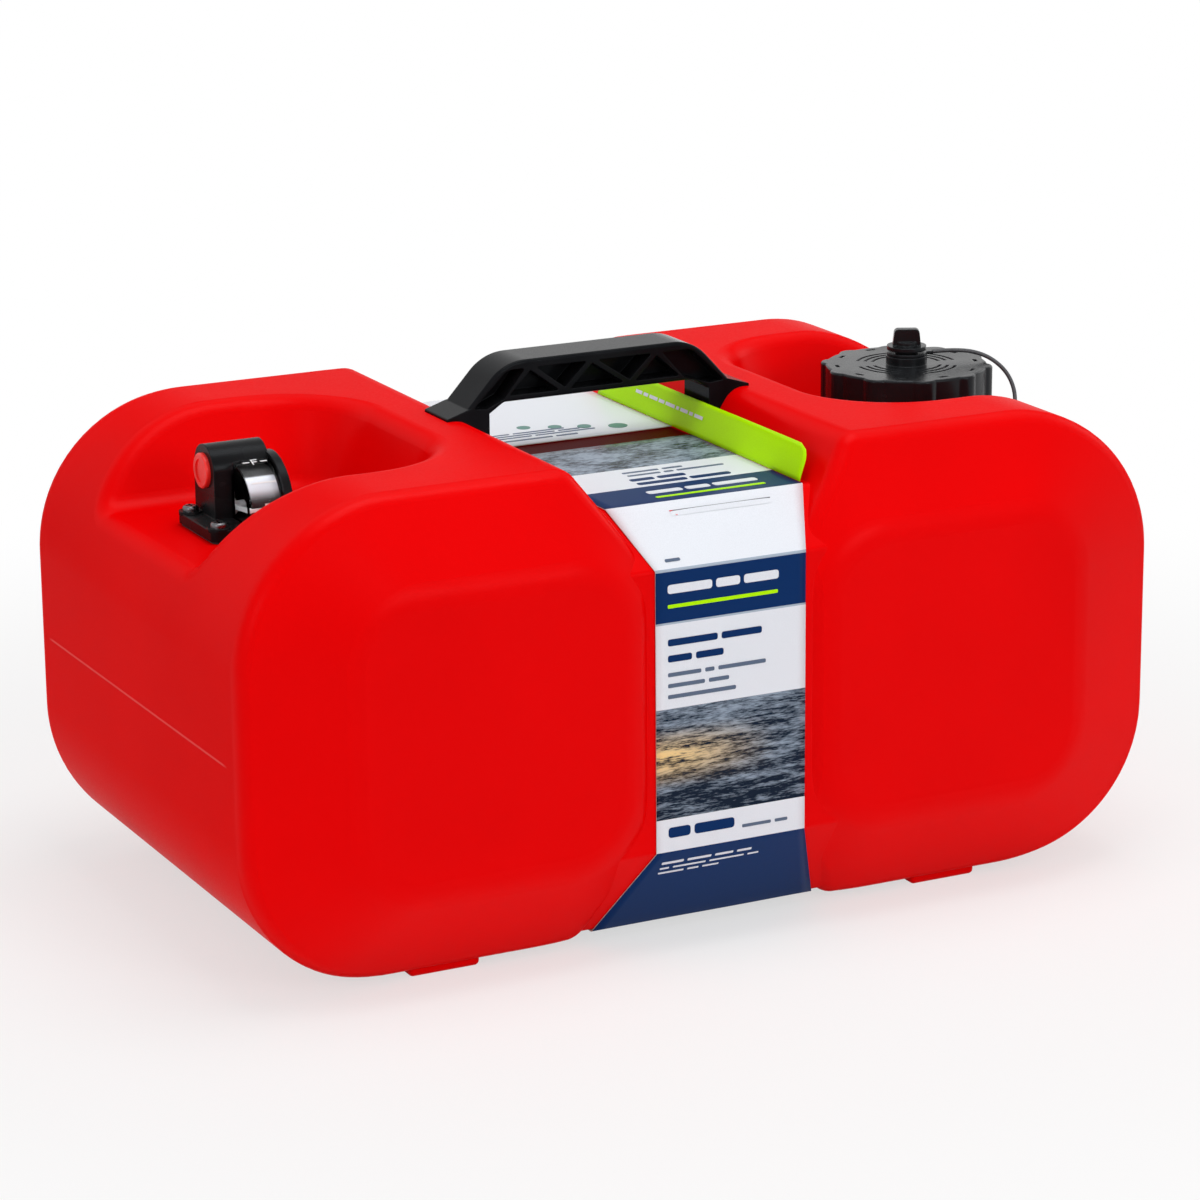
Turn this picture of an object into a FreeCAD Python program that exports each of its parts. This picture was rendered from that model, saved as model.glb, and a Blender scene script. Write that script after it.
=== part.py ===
import FreeCAD, Part
import math
import os

from FreeCAD import Vector

# Portable fuel tank for an outboard motor. X runs along its length, Y to the back, Z up.
# The origin is on the floor, under the middle of the tank. All sizes are in millimetres.

# Blow-moulded shell: two big lobes and a narrower waist between them
length = 500.0
panelWidth = 310.0
height = 244.0
wall = 4.2
endRadius = 79.0
footHeight = 4.0
lobeInner = 43.4
lobeInnerTop = 75.0
lobeInnerBottom = 68.0
chamferLow = 55.0
chamferHigh = height - 46.0
lobeCornerRadius = 12.0
lobeEdgeRadius = 10.0

# Raised panel on the front and back of each lobe, with sloped bands round it
panelInner = 50.0
panelEndInset = 52.0
panelBottom = 52.0
panelTop = height - 44.0
panelCornerRadius = 35.0
panelEdgeRadius = 26.0
endBandSlope = 2.74
topBandSlope = 1.77
bottomBandSlope = 1.5
innerBandSlope = 1.3
cornerSpread = 1.6

# Waist section
waistHalfDepth = 150.0
waistTop = height - 24.0
waistBottom = 8.0
waistShoulder = height - 49.5
waistTopHalfDepth = 124.0
waistBottomHalfDepth = 121.0
waistSill = 53.0
waistCornerRadius = 4.0
waistReach = 78.0

# Feet under the lobes
footInner = 121.5
footLength = 37.5
footFront = 120.0
footDepth = 26.0
footEdge = 2.5

# Pockets in the lobe tops, open towards the ends
pocketFloor = height - 44.0
pocketInner = 121.0
pocketHalfDepth = 62.0
pocketInnerSlope = 0.34
pocketSideSlope = 0.5
pocketCornerRadius = 30.0
pocketFloorRadius = 12.0
pocketRimRadius = 10.0

# Filler neck, cap and gasket
neckInset = 63.0
neckRadius = 34.0
neckBore = 29.5
neckTop = height - 9.0
threadPitch = 6.35
threadTurns = 1.5
threadRidge = 1.5
threadLow = height - 23.0
gasketThickness = 2.5
capRadius = 42.6
capKnuckles = 10
knuckleRadius = 7.5
knuckleReach = 45.2
capPlate = 4.5
capSkirtBottom = height - 30.0
capClearance = 0.5
capEdge = 1.2
capGrooveDepth = 0.9
capGrooveWidth = 1.7
capGrooveRadii = (18.0, 22.0, 26.0)
capNotchRadius = 37.0

# Vent on top of the cap
ventBossRadius = 10.8
ventBossHeight = 4.6
ventCollarRadius = 6.2
ventRingHeight = 1.6
ventRingRadius = 10.4
ventFlangeRadius = 10.3
ventFlangeHeight = 2.2
ventWingWidth = 15.0
ventWingThickness = 5.0
ventWingHeight = 8.8
ventStemRadius = 3.4
ventBore = 3.45
ventSealHeight = 1.0
playGap = 0.3

# Tether between the cap and the neck
tetherRadius = 1.1
neckRingHeight = 3.0
neckRingWidth = 3.2
neckRingBottom = height - 40.5
tabWidth = 4.4
tetherAngleTop = -14.0
tetherAngleNeck = -33.0
topTabReach = 3.4
neckTabReach = 4.0
tetherGap = 0.25
# Route of the strap from the neck's axis and the tank's top
tetherRoute = ((26.5, -6.8, 4.2), (40.5, -12.5, 1.2), (49.5, -19.5, -7.0),
               (51.5, -26.0, -17.5), (48.5, -30.0, -28.0), (42.0, -28.0, -36.0))

# Carry handle across the waist
handleTop = height + 27.0
handleHalfLength = 85.0
handleWidth = 27.0
handleRailTop = 4.2
handleRailBottom = 3.0
handleGrip = height + 6.5
handleWeb = 2.4
handleRib = 2.0
handleShoulder = 53.0
handleShoulderRadius = 26.0
handleLegOuter = 77.0
handleLegRim = 5.0
handleGripHalf = 53.5
handleFootBottom = height - 11.0
handleFootInner = 62.0
handleFootWidth = 27.0
handleFootTip = 1.2
handleTrussNodes = (-54.0, -39.0, -20.0, -4.5, 16.5, 32.0, 48.0)
socketGap = 0.3

# Fuel gauge and outlet fitting in the left pocket
gaugeInset = 59.0
flangeSide = 48.0
flangeLeft = -24.0
flangeRight = 34.5
flangeThickness = 5.3
flangeCorner = 4.0
flangeGasket = 1.2
openingRadius = 17.0
openingShiftX = -1.0
openingY = 3.0
chamberBack = 13.0
screwLeft = -18.8
screwRight = 28.5
screwReachY = 18.5
screwRadius = 2.0
screwHeadRadius = 4.0
screwHeadHeight = 2.6
screwBossRadius = 5.8
screwBossHeight = 0.9
screwLength = 12.0
insertRadius = 3.6
insertLength = 9.0
insertPillar = 6.0
pivotY = 2.0
pivotLift = 4.6
lensRadius = 24.0
lensThickness = 2.0
lensLeft = -5.0
lensRight = 14.5
blockLeft = -14.0
blockFront = -2.2
blockRadius = 13.0
portLift = 22.2
portBore = 5.0
portDepth = 9.0
riserX = -8.3
riserY = 8.0
riserBore = 3.4
cheekThickness = 4.3
cheekRadius = 26.0
plugHeadRadius = 8.8
plugHeadThickness = 2.4
plugFit = 0.05
sealSection = 1.0

# Gauge movement: needle, push rod, float arm and float
scaleRadius = 19.5
scaleThickness = 1.0
needleRadius = 21.6
needleThickness = 1.2
needleBar = 1.6
needleRest = 6.0
crankRadius = 8.0
crankRest = 41.0
crankPinRadius = 1.2
crankHalfWidth = 2.4
topPinPlay = 0.25
axleRadius = 1.5
runningFit = 0.05
sideGap = 0.3
hubRadius = 4.0
rodWidth = 4.6
rodThickness = 1.4
floatPivotDrop = 96.0
floatArmLength = 112.0
floatArmRest = 42.0
armWireRadius = 1.2
floatRadius = 13.0
floatLength = 38.0
clipRadius = 3.0
clipThickness = 1.0
bracketThickness = 2.0
bracketHalfWidth = 5.5

# Fuel pickup
tubeRadius = 5.0
tubeBore = 3.4
tubeSocket = 3.6
filterRadius = 8.0
filterLength = 16.0
filterBase = 3.0
filterFloorGap = 2.5

# Cardboard wrap round the waist
sleeveThickness = 0.6
sleeveGap = 0.3
sleeveFrontHalf = 41.0
sleeveTopHalf = 54.0
sleeveBottomHalf = 62.0
sleeveWindowFront = -8.0
sleeveWindowBack = 12.6
flapHeight = 18.0
flapLean = 5.5
flapFront = -122.0
flapBack = 96.0
flapCorner = 9.0

# Derived places
halfLength = length / 2
neckX = halfLength - neckInset
gaugeX = gaugeInset - halfLength
flangeBottom = pocketFloor + flangeGasket
flangeTop = flangeBottom + flangeThickness
pivotZ = flangeTop + pivotLift
floatPivotZ = pivotZ - floatPivotDrop
portZ = flangeTop + portLift
portY = blockFront + blockRadius
capCeiling = neckTop + gasketThickness
capTop = capCeiling + capPlate
ventCollarTop = capTop + ventBossHeight + ventRingHeight + 0.3
knobBottom = ventCollarTop + ventSealHeight + 0.1
lensX0 = gaugeX + lensLeft
lensX1 = gaugeX + lensRight
needleX = lensX0 + lensThickness + 0.4
rodX = needleX + needleThickness + sideGap
armX = rodX + rodThickness + sideGap
armThickness = 2 * armWireRadius + 0.6
bracketX = armX + armThickness + sideGap
tubeX = gaugeX + riserX


def box(x0, x1, y0, y1, z0, z1):
    return Part.makeBox(x1 - x0, y1 - y0, z1 - z0, Vector(x0, y0, z0))


def post(radius, x, y, z0, z1):
    return Part.makeCylinder(radius, z1 - z0, Vector(x, y, z0), Vector(0, 0, 1))


def rod(radius, x0, x1, y, z):
    return Part.makeCylinder(radius, x1 - x0, Vector(x0, y, z), Vector(1, 0, 0))


def ring(outer, inner, x, y, z0, z1):
    return post(outer, x, y, z0, z1).cut(post(inner, x, y, z0 - 1, z1 + 1))


def polar(x, y, radius, degrees):
    angle = math.radians(degrees)
    return x + radius * math.cos(angle), y + radius * math.sin(angle)


def mirrorX(shape):
    return shape.mirror(Vector(0, 0, 0), Vector(1, 0, 0))


def mirrorY(shape):
    return shape.mirror(Vector(0, 0, 0), Vector(0, 1, 0))


def insetCorners(points, inset):
    # Moves each side of a convex outline inwards by the same distance.
    count = len(points)
    lines = []
    for i in range(count):
        (ax, ay), (bx, by) = points[i], points[(i + 1) % count]
        side = math.hypot(bx - ax, by - ay)
        normalX, normalY = -(by - ay) / side, (bx - ax) / side
        lines.append((normalX, normalY, normalX * ax + normalY * ay + inset))
    moved = []
    for i in range(count):
        a1, b1, c1 = lines[i - 1]
        a2, b2, c2 = lines[i]
        det = a1 * b2 - a2 * b1
        moved.append(((c1 * b2 - c2 * b1) / det, (a1 * c2 - a2 * c1) / det))
    return moved


def softOutline(points, radii, place):
    # Closed outline through the corner points, each corner rounded by its own radius.
    count = len(points)
    corners = []
    for i in range(count):
        corner = Vector(*points[i], 0)
        toLast = (Vector(*points[i - 1], 0) - corner).normalize()
        toNext = (Vector(*points[(i + 1) % count], 0) - corner).normalize()
        half = toLast.getAngle(toNext) / 2
        reach = radii[i] / math.tan(half)
        middle = (toLast + toNext).normalize() * (radii[i] / math.sin(half) - radii[i])
        corners.append((corner + toLast * reach, corner + middle, corner + toNext * reach))
    edges = []
    for i in range(count):
        start, middle, end = (place(p.x, p.y) for p in corners[i])
        if radii[i] > 0:
            edges.append(Part.Arc(start, middle, end).toShape())
        following = corners[(i + 1) % count][0]
        edges.append(Part.makeLine(end, place(following.x, following.y)))
    return Part.Wire(edges)


def plateXZ(points, radii, y0, y1):
    outline = softOutline(points, radii, lambda u, v: Vector(u, y0, v))
    return Part.Face(outline).extrude(Vector(0, y1 - y0, 0))


def plateYZ(points, radii, x0, x1):
    outline = softOutline(points, radii, lambda u, v: Vector(x0, u, v))
    return Part.Face(outline).extrude(Vector(x1 - x0, 0, 0))


def plateXY(points, radii, z0, z1):
    outline = softOutline(points, radii, lambda u, v: Vector(u, v, z0))
    return Part.Face(outline).extrude(Vector(0, 0, z1 - z0))


def lobeBlock(inset):
    corners = [(lobeInnerBottom, footHeight), (halfLength, footHeight), (halfLength, height),
               (lobeInnerTop, height), (lobeInner, chamferHigh), (lobeInner, chamferLow)]
    radii = [lobeCornerRadius, endRadius, endRadius] + [lobeCornerRadius] * 3
    points = insetCorners(corners, inset)
    return plateXZ(points, [r - inset for r in radii], -panelWidth, panelWidth)


def panelWedge(inset):
    # The raised panel at the back, widening with the slope of the bands down to the middle plane.
    def edge(place, slope, outward, depth):
        return place + outward * (slope * depth - inset * math.sqrt(1 + slope * slope))

    def outline(y, depth, radius):
        x0 = edge(panelInner, innerBandSlope, -1, depth)
        x1 = edge(halfLength - panelEndInset, endBandSlope, 1, depth)
        z0 = edge(panelBottom, bottomBandSlope, -1, depth)
        z1 = edge(panelTop, topBandSlope, 1, depth)
        corners = [(x0, z0), (x1, z0), (x1, z1), (x0, z1)]
        return softOutline(corners, [radius] * 4, lambda u, v: Vector(u, y, v))

    face = panelWidth / 2
    near = outline(face - inset, inset, panelCornerRadius)
    far = outline(0, face, panelCornerRadius + cornerSpread * face)
    return Part.makeLoft([near, far], True, True)


def lobe(inset):
    wedge = panelWedge(inset)
    if inset == 0:
        rim = [e for e in wedge.Edges if min(v.Y for v in e.Vertexes) > panelWidth / 2 - 0.1]
        wedge = wedge.makeFillet(panelEdgeRadius, rim)
    shape = lobeBlock(inset).common(wedge.fuse(mirrorY(wedge)).removeSplitter())
    if inset == 0:
        crease = [e for e in shape.Edges if onLobeCrease(e)]
        shape = shape.makeFillet(lobeEdgeRadius, crease)
    return shape


def onLobeCrease(edge):
    # An edge where the side outline meets the sloped bands: it runs along neither.
    first, last = edge.FirstParameter, edge.LastParameter
    middle = edge.valueAt((first + last) / 2)
    direction = edge.tangentAt((first + last) / 2)
    return abs(direction.y) < 0.95 and abs(middle.y) < panelWidth / 2 - 2


def waist(inset):
    corners = [(-waistBottomHalfDepth, waistBottom), (waistBottomHalfDepth, waistBottom),
               (waistHalfDepth, waistSill), (waistHalfDepth, waistShoulder),
               (waistTopHalfDepth, waistTop), (-waistTopHalfDepth, waistTop),
               (-waistHalfDepth, waistShoulder), (-waistHalfDepth, waistSill)]
    points = insetCorners(corners, inset)
    radius = max(waistCornerRadius - inset, 0.2)
    return plateYZ(points, [radius] * 8, -waistReach, waistReach)


def pocket(grow):
    def outline(z):
        rise = z - pocketFloor
        inner = pocketInner - pocketInnerSlope * rise - grow * math.hypot(1, pocketInnerSlope)
        half = pocketHalfDepth + pocketSideSlope * rise + grow * math.hypot(1, pocketSideSlope)
        radius = pocketCornerRadius + grow + pocketSideSlope * rise
        far = halfLength + 60
        corners = [(inner, -half), (far, -half), (far, half), (inner, half)]
        return softOutline(corners, [radius, 0, 0, radius], lambda u, v: Vector(u, v, z))

    shape = Part.makeLoft([outline(pocketFloor - grow), outline(height + 30)], True, True)
    if grow == 0:
        floor = [e for e in shape.Edges if max(v.Z for v in e.Vertexes) < pocketFloor + 0.1
                 and min(v.X for v in e.Vertexes) < halfLength + 55]
        shape = shape.makeFillet(pocketFloorRadius, floor)
    return shape


def handleSocket(grow):
    gap = socketGap + grow
    return box(handleFootInner - gap, handleHalfLength + gap, -handleFootWidth / 2 - gap,
               handleFootWidth / 2 + gap, handleFootBottom - gap, height + 30)


def onPocketRim(edge):
    # The rim lies on both the pocket wall and the outside of the lobe.
    first, last = edge.FirstParameter, edge.LastParameter
    middle = edge.valueAt((first + last) / 2)
    onTop = middle.z > height - 0.5 and pocketInner - 25 < middle.x
    onEnd = pocketFloor - 1 < middle.z and middle.x > halfLength - endRadius
    return abs(middle.y) < panelWidth / 2 - 45 and (onTop or onEnd)


def halfOutside():
    body = lobe(0).cut(pocket(0))
    rim = [e for e in body.Edges if onPocketRim(e)]
    body = body.makeFillet(pocketRimRadius, rim)
    return body.cut(handleSocket(0))


def feet():
    x0, x1 = footInner, footInner + footLength
    y0, y1 = footFront - footDepth, footFront
    foot = box(x0, x1, y0, y1, 0, footHeight + wall)
    lower = [e for e in foot.Edges if min(v.Z for v in e.Vertexes) < 0.1]
    foot = foot.makeFillet(footEdge, lower)
    pair = [foot, mirrorY(foot)]
    return pair + [mirrorX(f) for f in pair]


def threadRidgeSolid():
    turns = threadTurns * threadPitch
    helix = Part.makeHelix(threadPitch, turns, neckRadius)
    base, crest = threadPitch * 0.28, threadPitch * 0.14
    inner, outer = neckRadius - 0.6, neckRadius + threadRidge
    points = [Vector(inner, 0, -base), Vector(outer, 0, -crest), Vector(outer, 0, crest),
              Vector(inner, 0, base)]
    profile = Part.makePolygon(points + points[:1])
    ridge = Part.Wire(helix).makePipeShell([profile], True, True)
    ridge.translate(Vector(neckX, 0, threadLow))
    return ridge


def screwPlaces():
    return [(gaugeX + along, across * screwReachY) for along in (screwLeft, screwRight)
            for across in (-1, 1)]


def tankShell():
    half = halfOutside()
    outside = half.fuse([mirrorX(half), waist(0)] + feet())
    cavityHalf = lobe(wall).cut(pocket(wall)).cut(handleSocket(wall))
    cavity = cavityHalf.fuse([mirrorX(cavityHalf), waist(wall)])
    pillars = [post(insertPillar, x, y, pocketFloor - insertLength - wall, pocketFloor)
               for x, y in screwPlaces()]
    neck = post(neckRadius, neckX, 0, pocketFloor - wall, neckTop)
    shell = outside.cut(cavity).fuse(pillars + [neck, threadRidgeSolid()])
    opening = post(openingRadius, gaugeX + openingShiftX, openingY, pocketFloor - 20,
                   pocketFloor + 5)
    filler = post(neckBore, neckX, 0, pocketFloor - 20, neckTop + 5)
    bores = [post(insertRadius, x, y, pocketFloor - insertLength, pocketFloor + 5)
             for x, y in screwPlaces()]
    return shell.cut([opening, filler] + bores)


def capOutline(z0, z1):
    shape = post(capRadius, neckX, 0, z0, z1)
    knuckles = []
    for k in range(capKnuckles):
        x, y = polar(neckX, 0, knuckleReach - knuckleRadius, 360 * k / capKnuckles)
        knuckles.append(post(knuckleRadius, x, y, z0, z1))
    return shape.fuse(knuckles).removeSplitter()


def capGrooves():
    depth = capGrooveDepth
    wedges = []
    for middle in (20, 110, 200, 290):
        ends = [polar(neckX, 0, 60, middle + side * 30) for side in (-1, 1)]
        points = [(neckX, 0)] + ends
        wedges.append(plateXY(points, [0, 0, 0], capTop - depth, capTop + 1))
    sector = wedges[0].fuse(wedges[1:])
    rings = [ring(r + capGrooveWidth / 2, r - capGrooveWidth / 2, neckX, 0, capTop - depth,
                  capTop + 1) for r in capGrooveRadii]
    notches = []
    for k in range(capKnuckles):
        slot = box(neckX + capNotchRadius - 1, neckX + capNotchRadius + 1, -2.6, 2.6,
                   capTop - depth, capTop + 1)
        slot.rotate(Vector(neckX, 0, 0), Vector(0, 0, 1), 360 * (k + 0.5) / capKnuckles)
        notches.append(slot)
    return [r.common(sector) for r in rings] + notches


def fillerCap():
    cap = capOutline(capSkirtBottom, capTop)
    upright = [e for e in cap.Edges if abs(e.tangentAt(e.FirstParameter).z) > 0.99
               and e.Length > 20]
    cap = cap.makeFillet(2.0, upright)
    top = [e for e in cap.Edges if min(v.Z for v in e.Vertexes) > capTop - 0.1]
    cap = cap.makeFillet(capEdge, top)
    bore = post(neckRadius + threadRidge + capClearance, neckX, 0, capSkirtBottom - 1, capCeiling)
    boss = post(ventBossRadius, neckX, 0, capTop - 1, capTop + ventBossHeight)
    collar = post(ventCollarRadius, neckX, 0, capTop, ventCollarTop)
    vent = post(ventBore, neckX, 0, capCeiling - 1, ventCollarTop + 1)
    return cap.fuse([boss, collar]).cut([bore, vent] + capGrooves())


def capGasket():
    return ring(neckRadius - 0.4, neckBore + 0.4, neckX, 0, neckTop, capCeiling)


def ventKnob():
    top = knobBottom + ventFlangeHeight
    flange = post(ventFlangeRadius, neckX, 0, knobBottom, top)
    half = ventWingWidth / 2
    wing = plateYZ([(-half, top - 1), (half, top - 1), (half * 0.86, top + ventWingHeight),
                    (-half * 0.86, top + ventWingHeight)], [0.3, 0.3, 2.2, 2.2],
                   neckX - ventWingThickness / 2, neckX + ventWingThickness / 2)
    wing.rotate(Vector(neckX, 0, 0), Vector(0, 0, 1), 63)
    neck = post(ventCollarRadius * 0.9, neckX, 0, top - 1, top + 2)
    stem = post(ventStemRadius, neckX, 0, capCeiling - 0.5, knobBottom + 1)
    return flange.fuse([wing, neck, stem]).removeSplitter()


def ventSeal():
    low = ventCollarTop + 0.05
    return ring(ventCollarRadius - 0.3, ventStemRadius + 0.3, neckX, 0, low, low + ventSealHeight)


def tabSolid(x, y, radius, reach, degrees, z0, z1):
    tab = box(x + radius - 1, x + radius + reach, y - tabWidth / 2, y + tabWidth / 2, z0, z1)
    tab.rotate(Vector(x, y, 0), Vector(0, 0, 1), degrees)
    return tab


def tetherCapRing():
    z0 = capTop + ventBossHeight + 0.1
    z1 = z0 + ventRingHeight
    band = post(ventRingRadius, neckX, 0, z0, z1)
    tab = tabSolid(neckX, 0, ventRingRadius, topTabReach, tetherAngleTop, z0, z1)
    hole = post(ventCollarRadius + playGap, neckX, 0, z0 - 1, z1 + 1)
    return band.fuse(tab).removeSplitter().cut(hole)


def tetherNeckRing():
    outer = neckRadius + 0.2 + neckRingWidth
    z0, z1 = neckRingBottom, neckRingBottom + neckRingHeight
    band = post(outer, neckX, 0, z0, z1)
    tab = tabSolid(neckX, 0, outer, neckTabReach, tetherAngleNeck, z0, z1)
    hole = post(neckRadius + 0.2, neckX, 0, z0 - 1, z1 + 1)
    return band.fuse(tab).removeSplitter().cut(hole)


def tetherPoints():
    topReach = ventRingRadius + topTabReach + tetherGap
    neckReach = neckRadius + 0.2 + neckRingWidth + neckTabReach + tetherGap
    first = Vector(*polar(neckX, 0, topReach, tetherAngleTop),
                   capTop + ventBossHeight + 0.1 + ventRingHeight / 2)
    last = Vector(*polar(neckX, 0, neckReach, tetherAngleNeck),
                  neckRingBottom + neckRingHeight / 2)
    return [first] + [Vector(neckX + x, y, height + z) for x, y, z in tetherRoute] + [last]


def tubeAlong(points, radius, name):
    # Straight runs joined by tangent arcs, each as large as its two runs allow.
    edges = []
    start = points[0]
    for i in range(1, len(points) - 1):
        back = points[i - 1] - points[i]
        ahead = points[i + 1] - points[i]
        half = back.getAngle(ahead) / 2
        reach = 0.45 * min(back.Length, ahead.Length)
        bend = reach * math.tan(half)
        print(f"{name} bend {i} radius {bend:.1f}")
        back.normalize()
        ahead.normalize()
        entry, leave = points[i] + back * reach, points[i] + ahead * reach
        middle = points[i] + (back + ahead).normalize() * (bend / math.sin(half) - bend)
        edges.append(Part.makeLine(start, entry))
        edges.append(Part.Arc(entry, middle, leave).toShape())
        start = leave
    edges.append(Part.makeLine(start, points[-1]))
    path = Part.Wire(edges)
    direction = (points[1] - points[0]).normalize()
    circle = Part.Wire([Part.makeCircle(radius, points[0], direction)])
    tube = path.makePipeShell([circle], True, False)
    print(f"{name} volume {tube.Volume:.1f} against {math.pi * radius ** 2 * path.Length:.1f}")
    return tube


def handle():
    width = handleWidth / 2
    seat = height + 1
    outer = [(-handleLegOuter, seat), (-handleFootInner, seat), (-handleGripHalf, handleGrip),
             (handleGripHalf, handleGrip), (handleFootInner, seat), (handleLegOuter, seat),
             (handleShoulder, handleTop), (-handleShoulder, handleTop)]
    radii = [1, 1, 4, 4, 1, 1, handleShoulderRadius, handleShoulderRadius]
    body = plateXZ(outer, radii, -width, width)
    side = [e for e in body.Edges if min(abs(v.Y) for v in e.Vertexes) > width - 0.1]
    body = body.makeFillet(1.6, side)
    recesses = trussRecesses()
    depth = width - handleWeb / 2
    pockets = [r.translated(Vector(0, handleWeb / 2, 0)) for r in recesses]
    pockets += [r.translated(Vector(0, -handleWeb / 2 - depth, 0)) for r in recesses]
    return body.cut(pockets).fuse(handleFeet()).removeSplitter()


def trussRecesses():
    # Triangles between the zigzag ribs, from the web out to one side of the handle.
    depth = handleWidth / 2 - handleWeb / 2
    low, high = handleGrip + handleRailBottom, handleTop - handleRailTop
    shift = handleRib * 1.35
    nodes = handleTrussNodes
    shapes = []
    for i in range(len(nodes) - 2):
        a, b, c = nodes[i], nodes[i + 1], nodes[i + 2]
        base, tip = (low, high) if i % 2 == 0 else (high, low)
        points = [(a + shift, base), (c - shift, base), (b, tip + (base - tip) * 0.09)]
        if i % 2 == 1:
            points.reverse()
        shapes.append(plateXZ(points, [0.6] * 3, 0, depth))
    ends = [(-1, nodes[0], nodes[1]), (1, nodes[-1], nodes[-2])]
    for side, foot, top in ends:
        points = [(foot - 0.4 * side, low - 1.2), (top + shift * side, high),
                  (side * (handleShoulder - 1), high),
                  (side * (handleLegOuter - handleLegRim), height + 3.5),
                  (side * (handleFootInner + 2.5), height + 3.5)]
        if side > 0:
            points.reverse()
        shapes.append(plateXZ(points, [0.8, 0.8, 8, 1.5, 1.5][::side * -1 or 1], 0, depth))
    return shapes


def handleFeet():
    width = handleFootWidth / 2
    foot = plateXZ([(handleFootInner, handleFootBottom), (handleHalfLength, handleFootBottom),
                    (handleHalfLength, height + handleFootTip), (handleLegOuter - 4, height + 5),
                    (handleFootInner, height + 4)], [1, 2, 0.5, 3, 1], -width, width)
    return [foot, mirrorX(foot)]


def flangeOutline():
    side = flangeSide / 2
    return [(gaugeX + flangeLeft, -side), (gaugeX + flangeRight, -side),
            (gaugeX + flangeRight, side), (gaugeX + flangeLeft, side)]


def gaugeHousing():
    x0 = gaugeX + blockLeft
    cheekEnd = lensX1 + cheekThickness
    back = blockFront + 2 * blockRadius
    flange = plateXY(flangeOutline(), [flangeCorner] * 4, flangeBottom, flangeTop)
    pads = [post(screwBossRadius, x, y, flangeTop - 1, flangeTop + screwBossHeight)
            for x, y in screwPlaces()]
    block = box(x0, cheekEnd, blockFront, back, flangeTop - 1, portZ)
    crown = rod(blockRadius, x0, lensX1 + 1, portY, portZ)
    cheek = rod(cheekRadius, lensX1, cheekEnd, pivotY, pivotZ)
    cheek = cheek.fuse(box(lensX1, cheekEnd, pivotY - cheekRadius, blockFront, flangeTop - 1,
                           pivotZ))
    cheek = cheek.common(box(lensX1, cheekEnd, pivotY - cheekRadius, back, flangeTop - 1,
                             portZ + 20))
    body = flange.fuse([block, crown, cheek] + pads).removeSplitter()
    chamber = rod(lensRadius - lensThickness, lensX0 + lensThickness, lensX1, pivotY, pivotZ)
    chamber = chamber.fuse(box(lensX0 + lensThickness, lensX1, pivotY - 15, pivotY + chamberBack,
                               flangeTop, pivotZ))
    chamber = chamber.common(box(lensX0, lensX1, pivotY - 60, pivotY + chamberBack, flangeTop,
                                 portZ + 20))
    slot = box(lensX0 + lensThickness, rodX + rodThickness + 0.6, pivotY + 2,
               pivotY + chamberBack, flangeBottom - 1, flangeTop + 1)
    port = rod(portBore, x0 - 1, x0 + portDepth, portY, portZ)
    riser = post(riserBore, tubeX, riserY, flangeBottom - 1, portZ)
    socket = post(tubeRadius, tubeX, riserY, flangeBottom - 1, flangeBottom + tubeSocket)
    axle = rod(axleRadius + runningFit, lensX0 + 0.6, lensX1 + 2.2, pivotY, pivotZ)
    holes = [post(screwRadius + 0.3, x, y, flangeBottom - 1, flangeTop + 5)
             for x, y in screwPlaces()]
    return body.cut([chamber, slot, port, riser, socket, axle] + holes)


def gaugeGasket():
    outline = insetCorners(flangeOutline(), 1)
    sheet = plateXY(outline, [flangeCorner] * 4, pocketFloor, flangeBottom)
    hole = post(openingRadius, gaugeX + openingShiftX, openingY, pocketFloor - 1,
                flangeBottom + 1)
    holes = [post(screwRadius + 0.5, x, y, pocketFloor - 1, flangeBottom + 1)
             for x, y in screwPlaces()]
    return sheet.cut([hole] + holes)


def lensSolid(radius, x0, x1, low):
    front = pivotY - radius
    dome = rod(radius, x0, x1, pivotY, pivotZ)
    skirt = box(x0, x1, front, blockFront, low, pivotZ)
    return dome.fuse(skirt).common(box(x0, x1, front, blockFront, low, pivotZ + radius))


def gaugeLens():
    outer = lensSolid(lensRadius, lensX0, lensX1, flangeTop)
    inner = lensSolid(lensRadius - lensThickness, lensX0 + lensThickness, lensX1 + 1,
                      flangeTop - 1)
    front = inner.BoundBox.YMin
    slab = box(lensX0 + lensThickness, lensX1 + 1, front, blockFront + 1, flangeTop - 1, pivotZ)
    return outer.cut([inner, slab])


def arcPlate(radius, thickness, x0, x1, low, high):
    # Part of a tube about the pivot axis, between two angles above the forward horizontal.
    def at(r, degrees):
        angle = math.radians(degrees)
        return Vector(x0, pivotY - r * math.cos(angle), pivotZ + r * math.sin(angle))

    middle = (low + high) / 2
    inner = radius - thickness
    edges = [Part.Arc(at(radius, low), at(radius, middle), at(radius, high)).toShape(),
             Part.makeLine(at(radius, high), at(inner, high)),
             Part.Arc(at(inner, high), at(inner, middle), at(inner, low)).toShape(),
             Part.makeLine(at(inner, low), at(radius, low))]
    return Part.Face(Part.Wire(edges)).extrude(Vector(x1 - x0, 0, 0))


def dialScale():
    low = -math.degrees(math.asin(pivotLift / scaleRadius))
    x0 = needleX + needleThickness + 0.8
    return arcPlate(scaleRadius, scaleThickness, x0, lensX1, low, 100)


def turned(y, z, radius, degrees):
    # A point at an angle above the backward horizontal, seen from the port side.
    angle = math.radians(degrees)
    return y + radius * math.cos(angle), z + radius * math.sin(angle)


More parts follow.
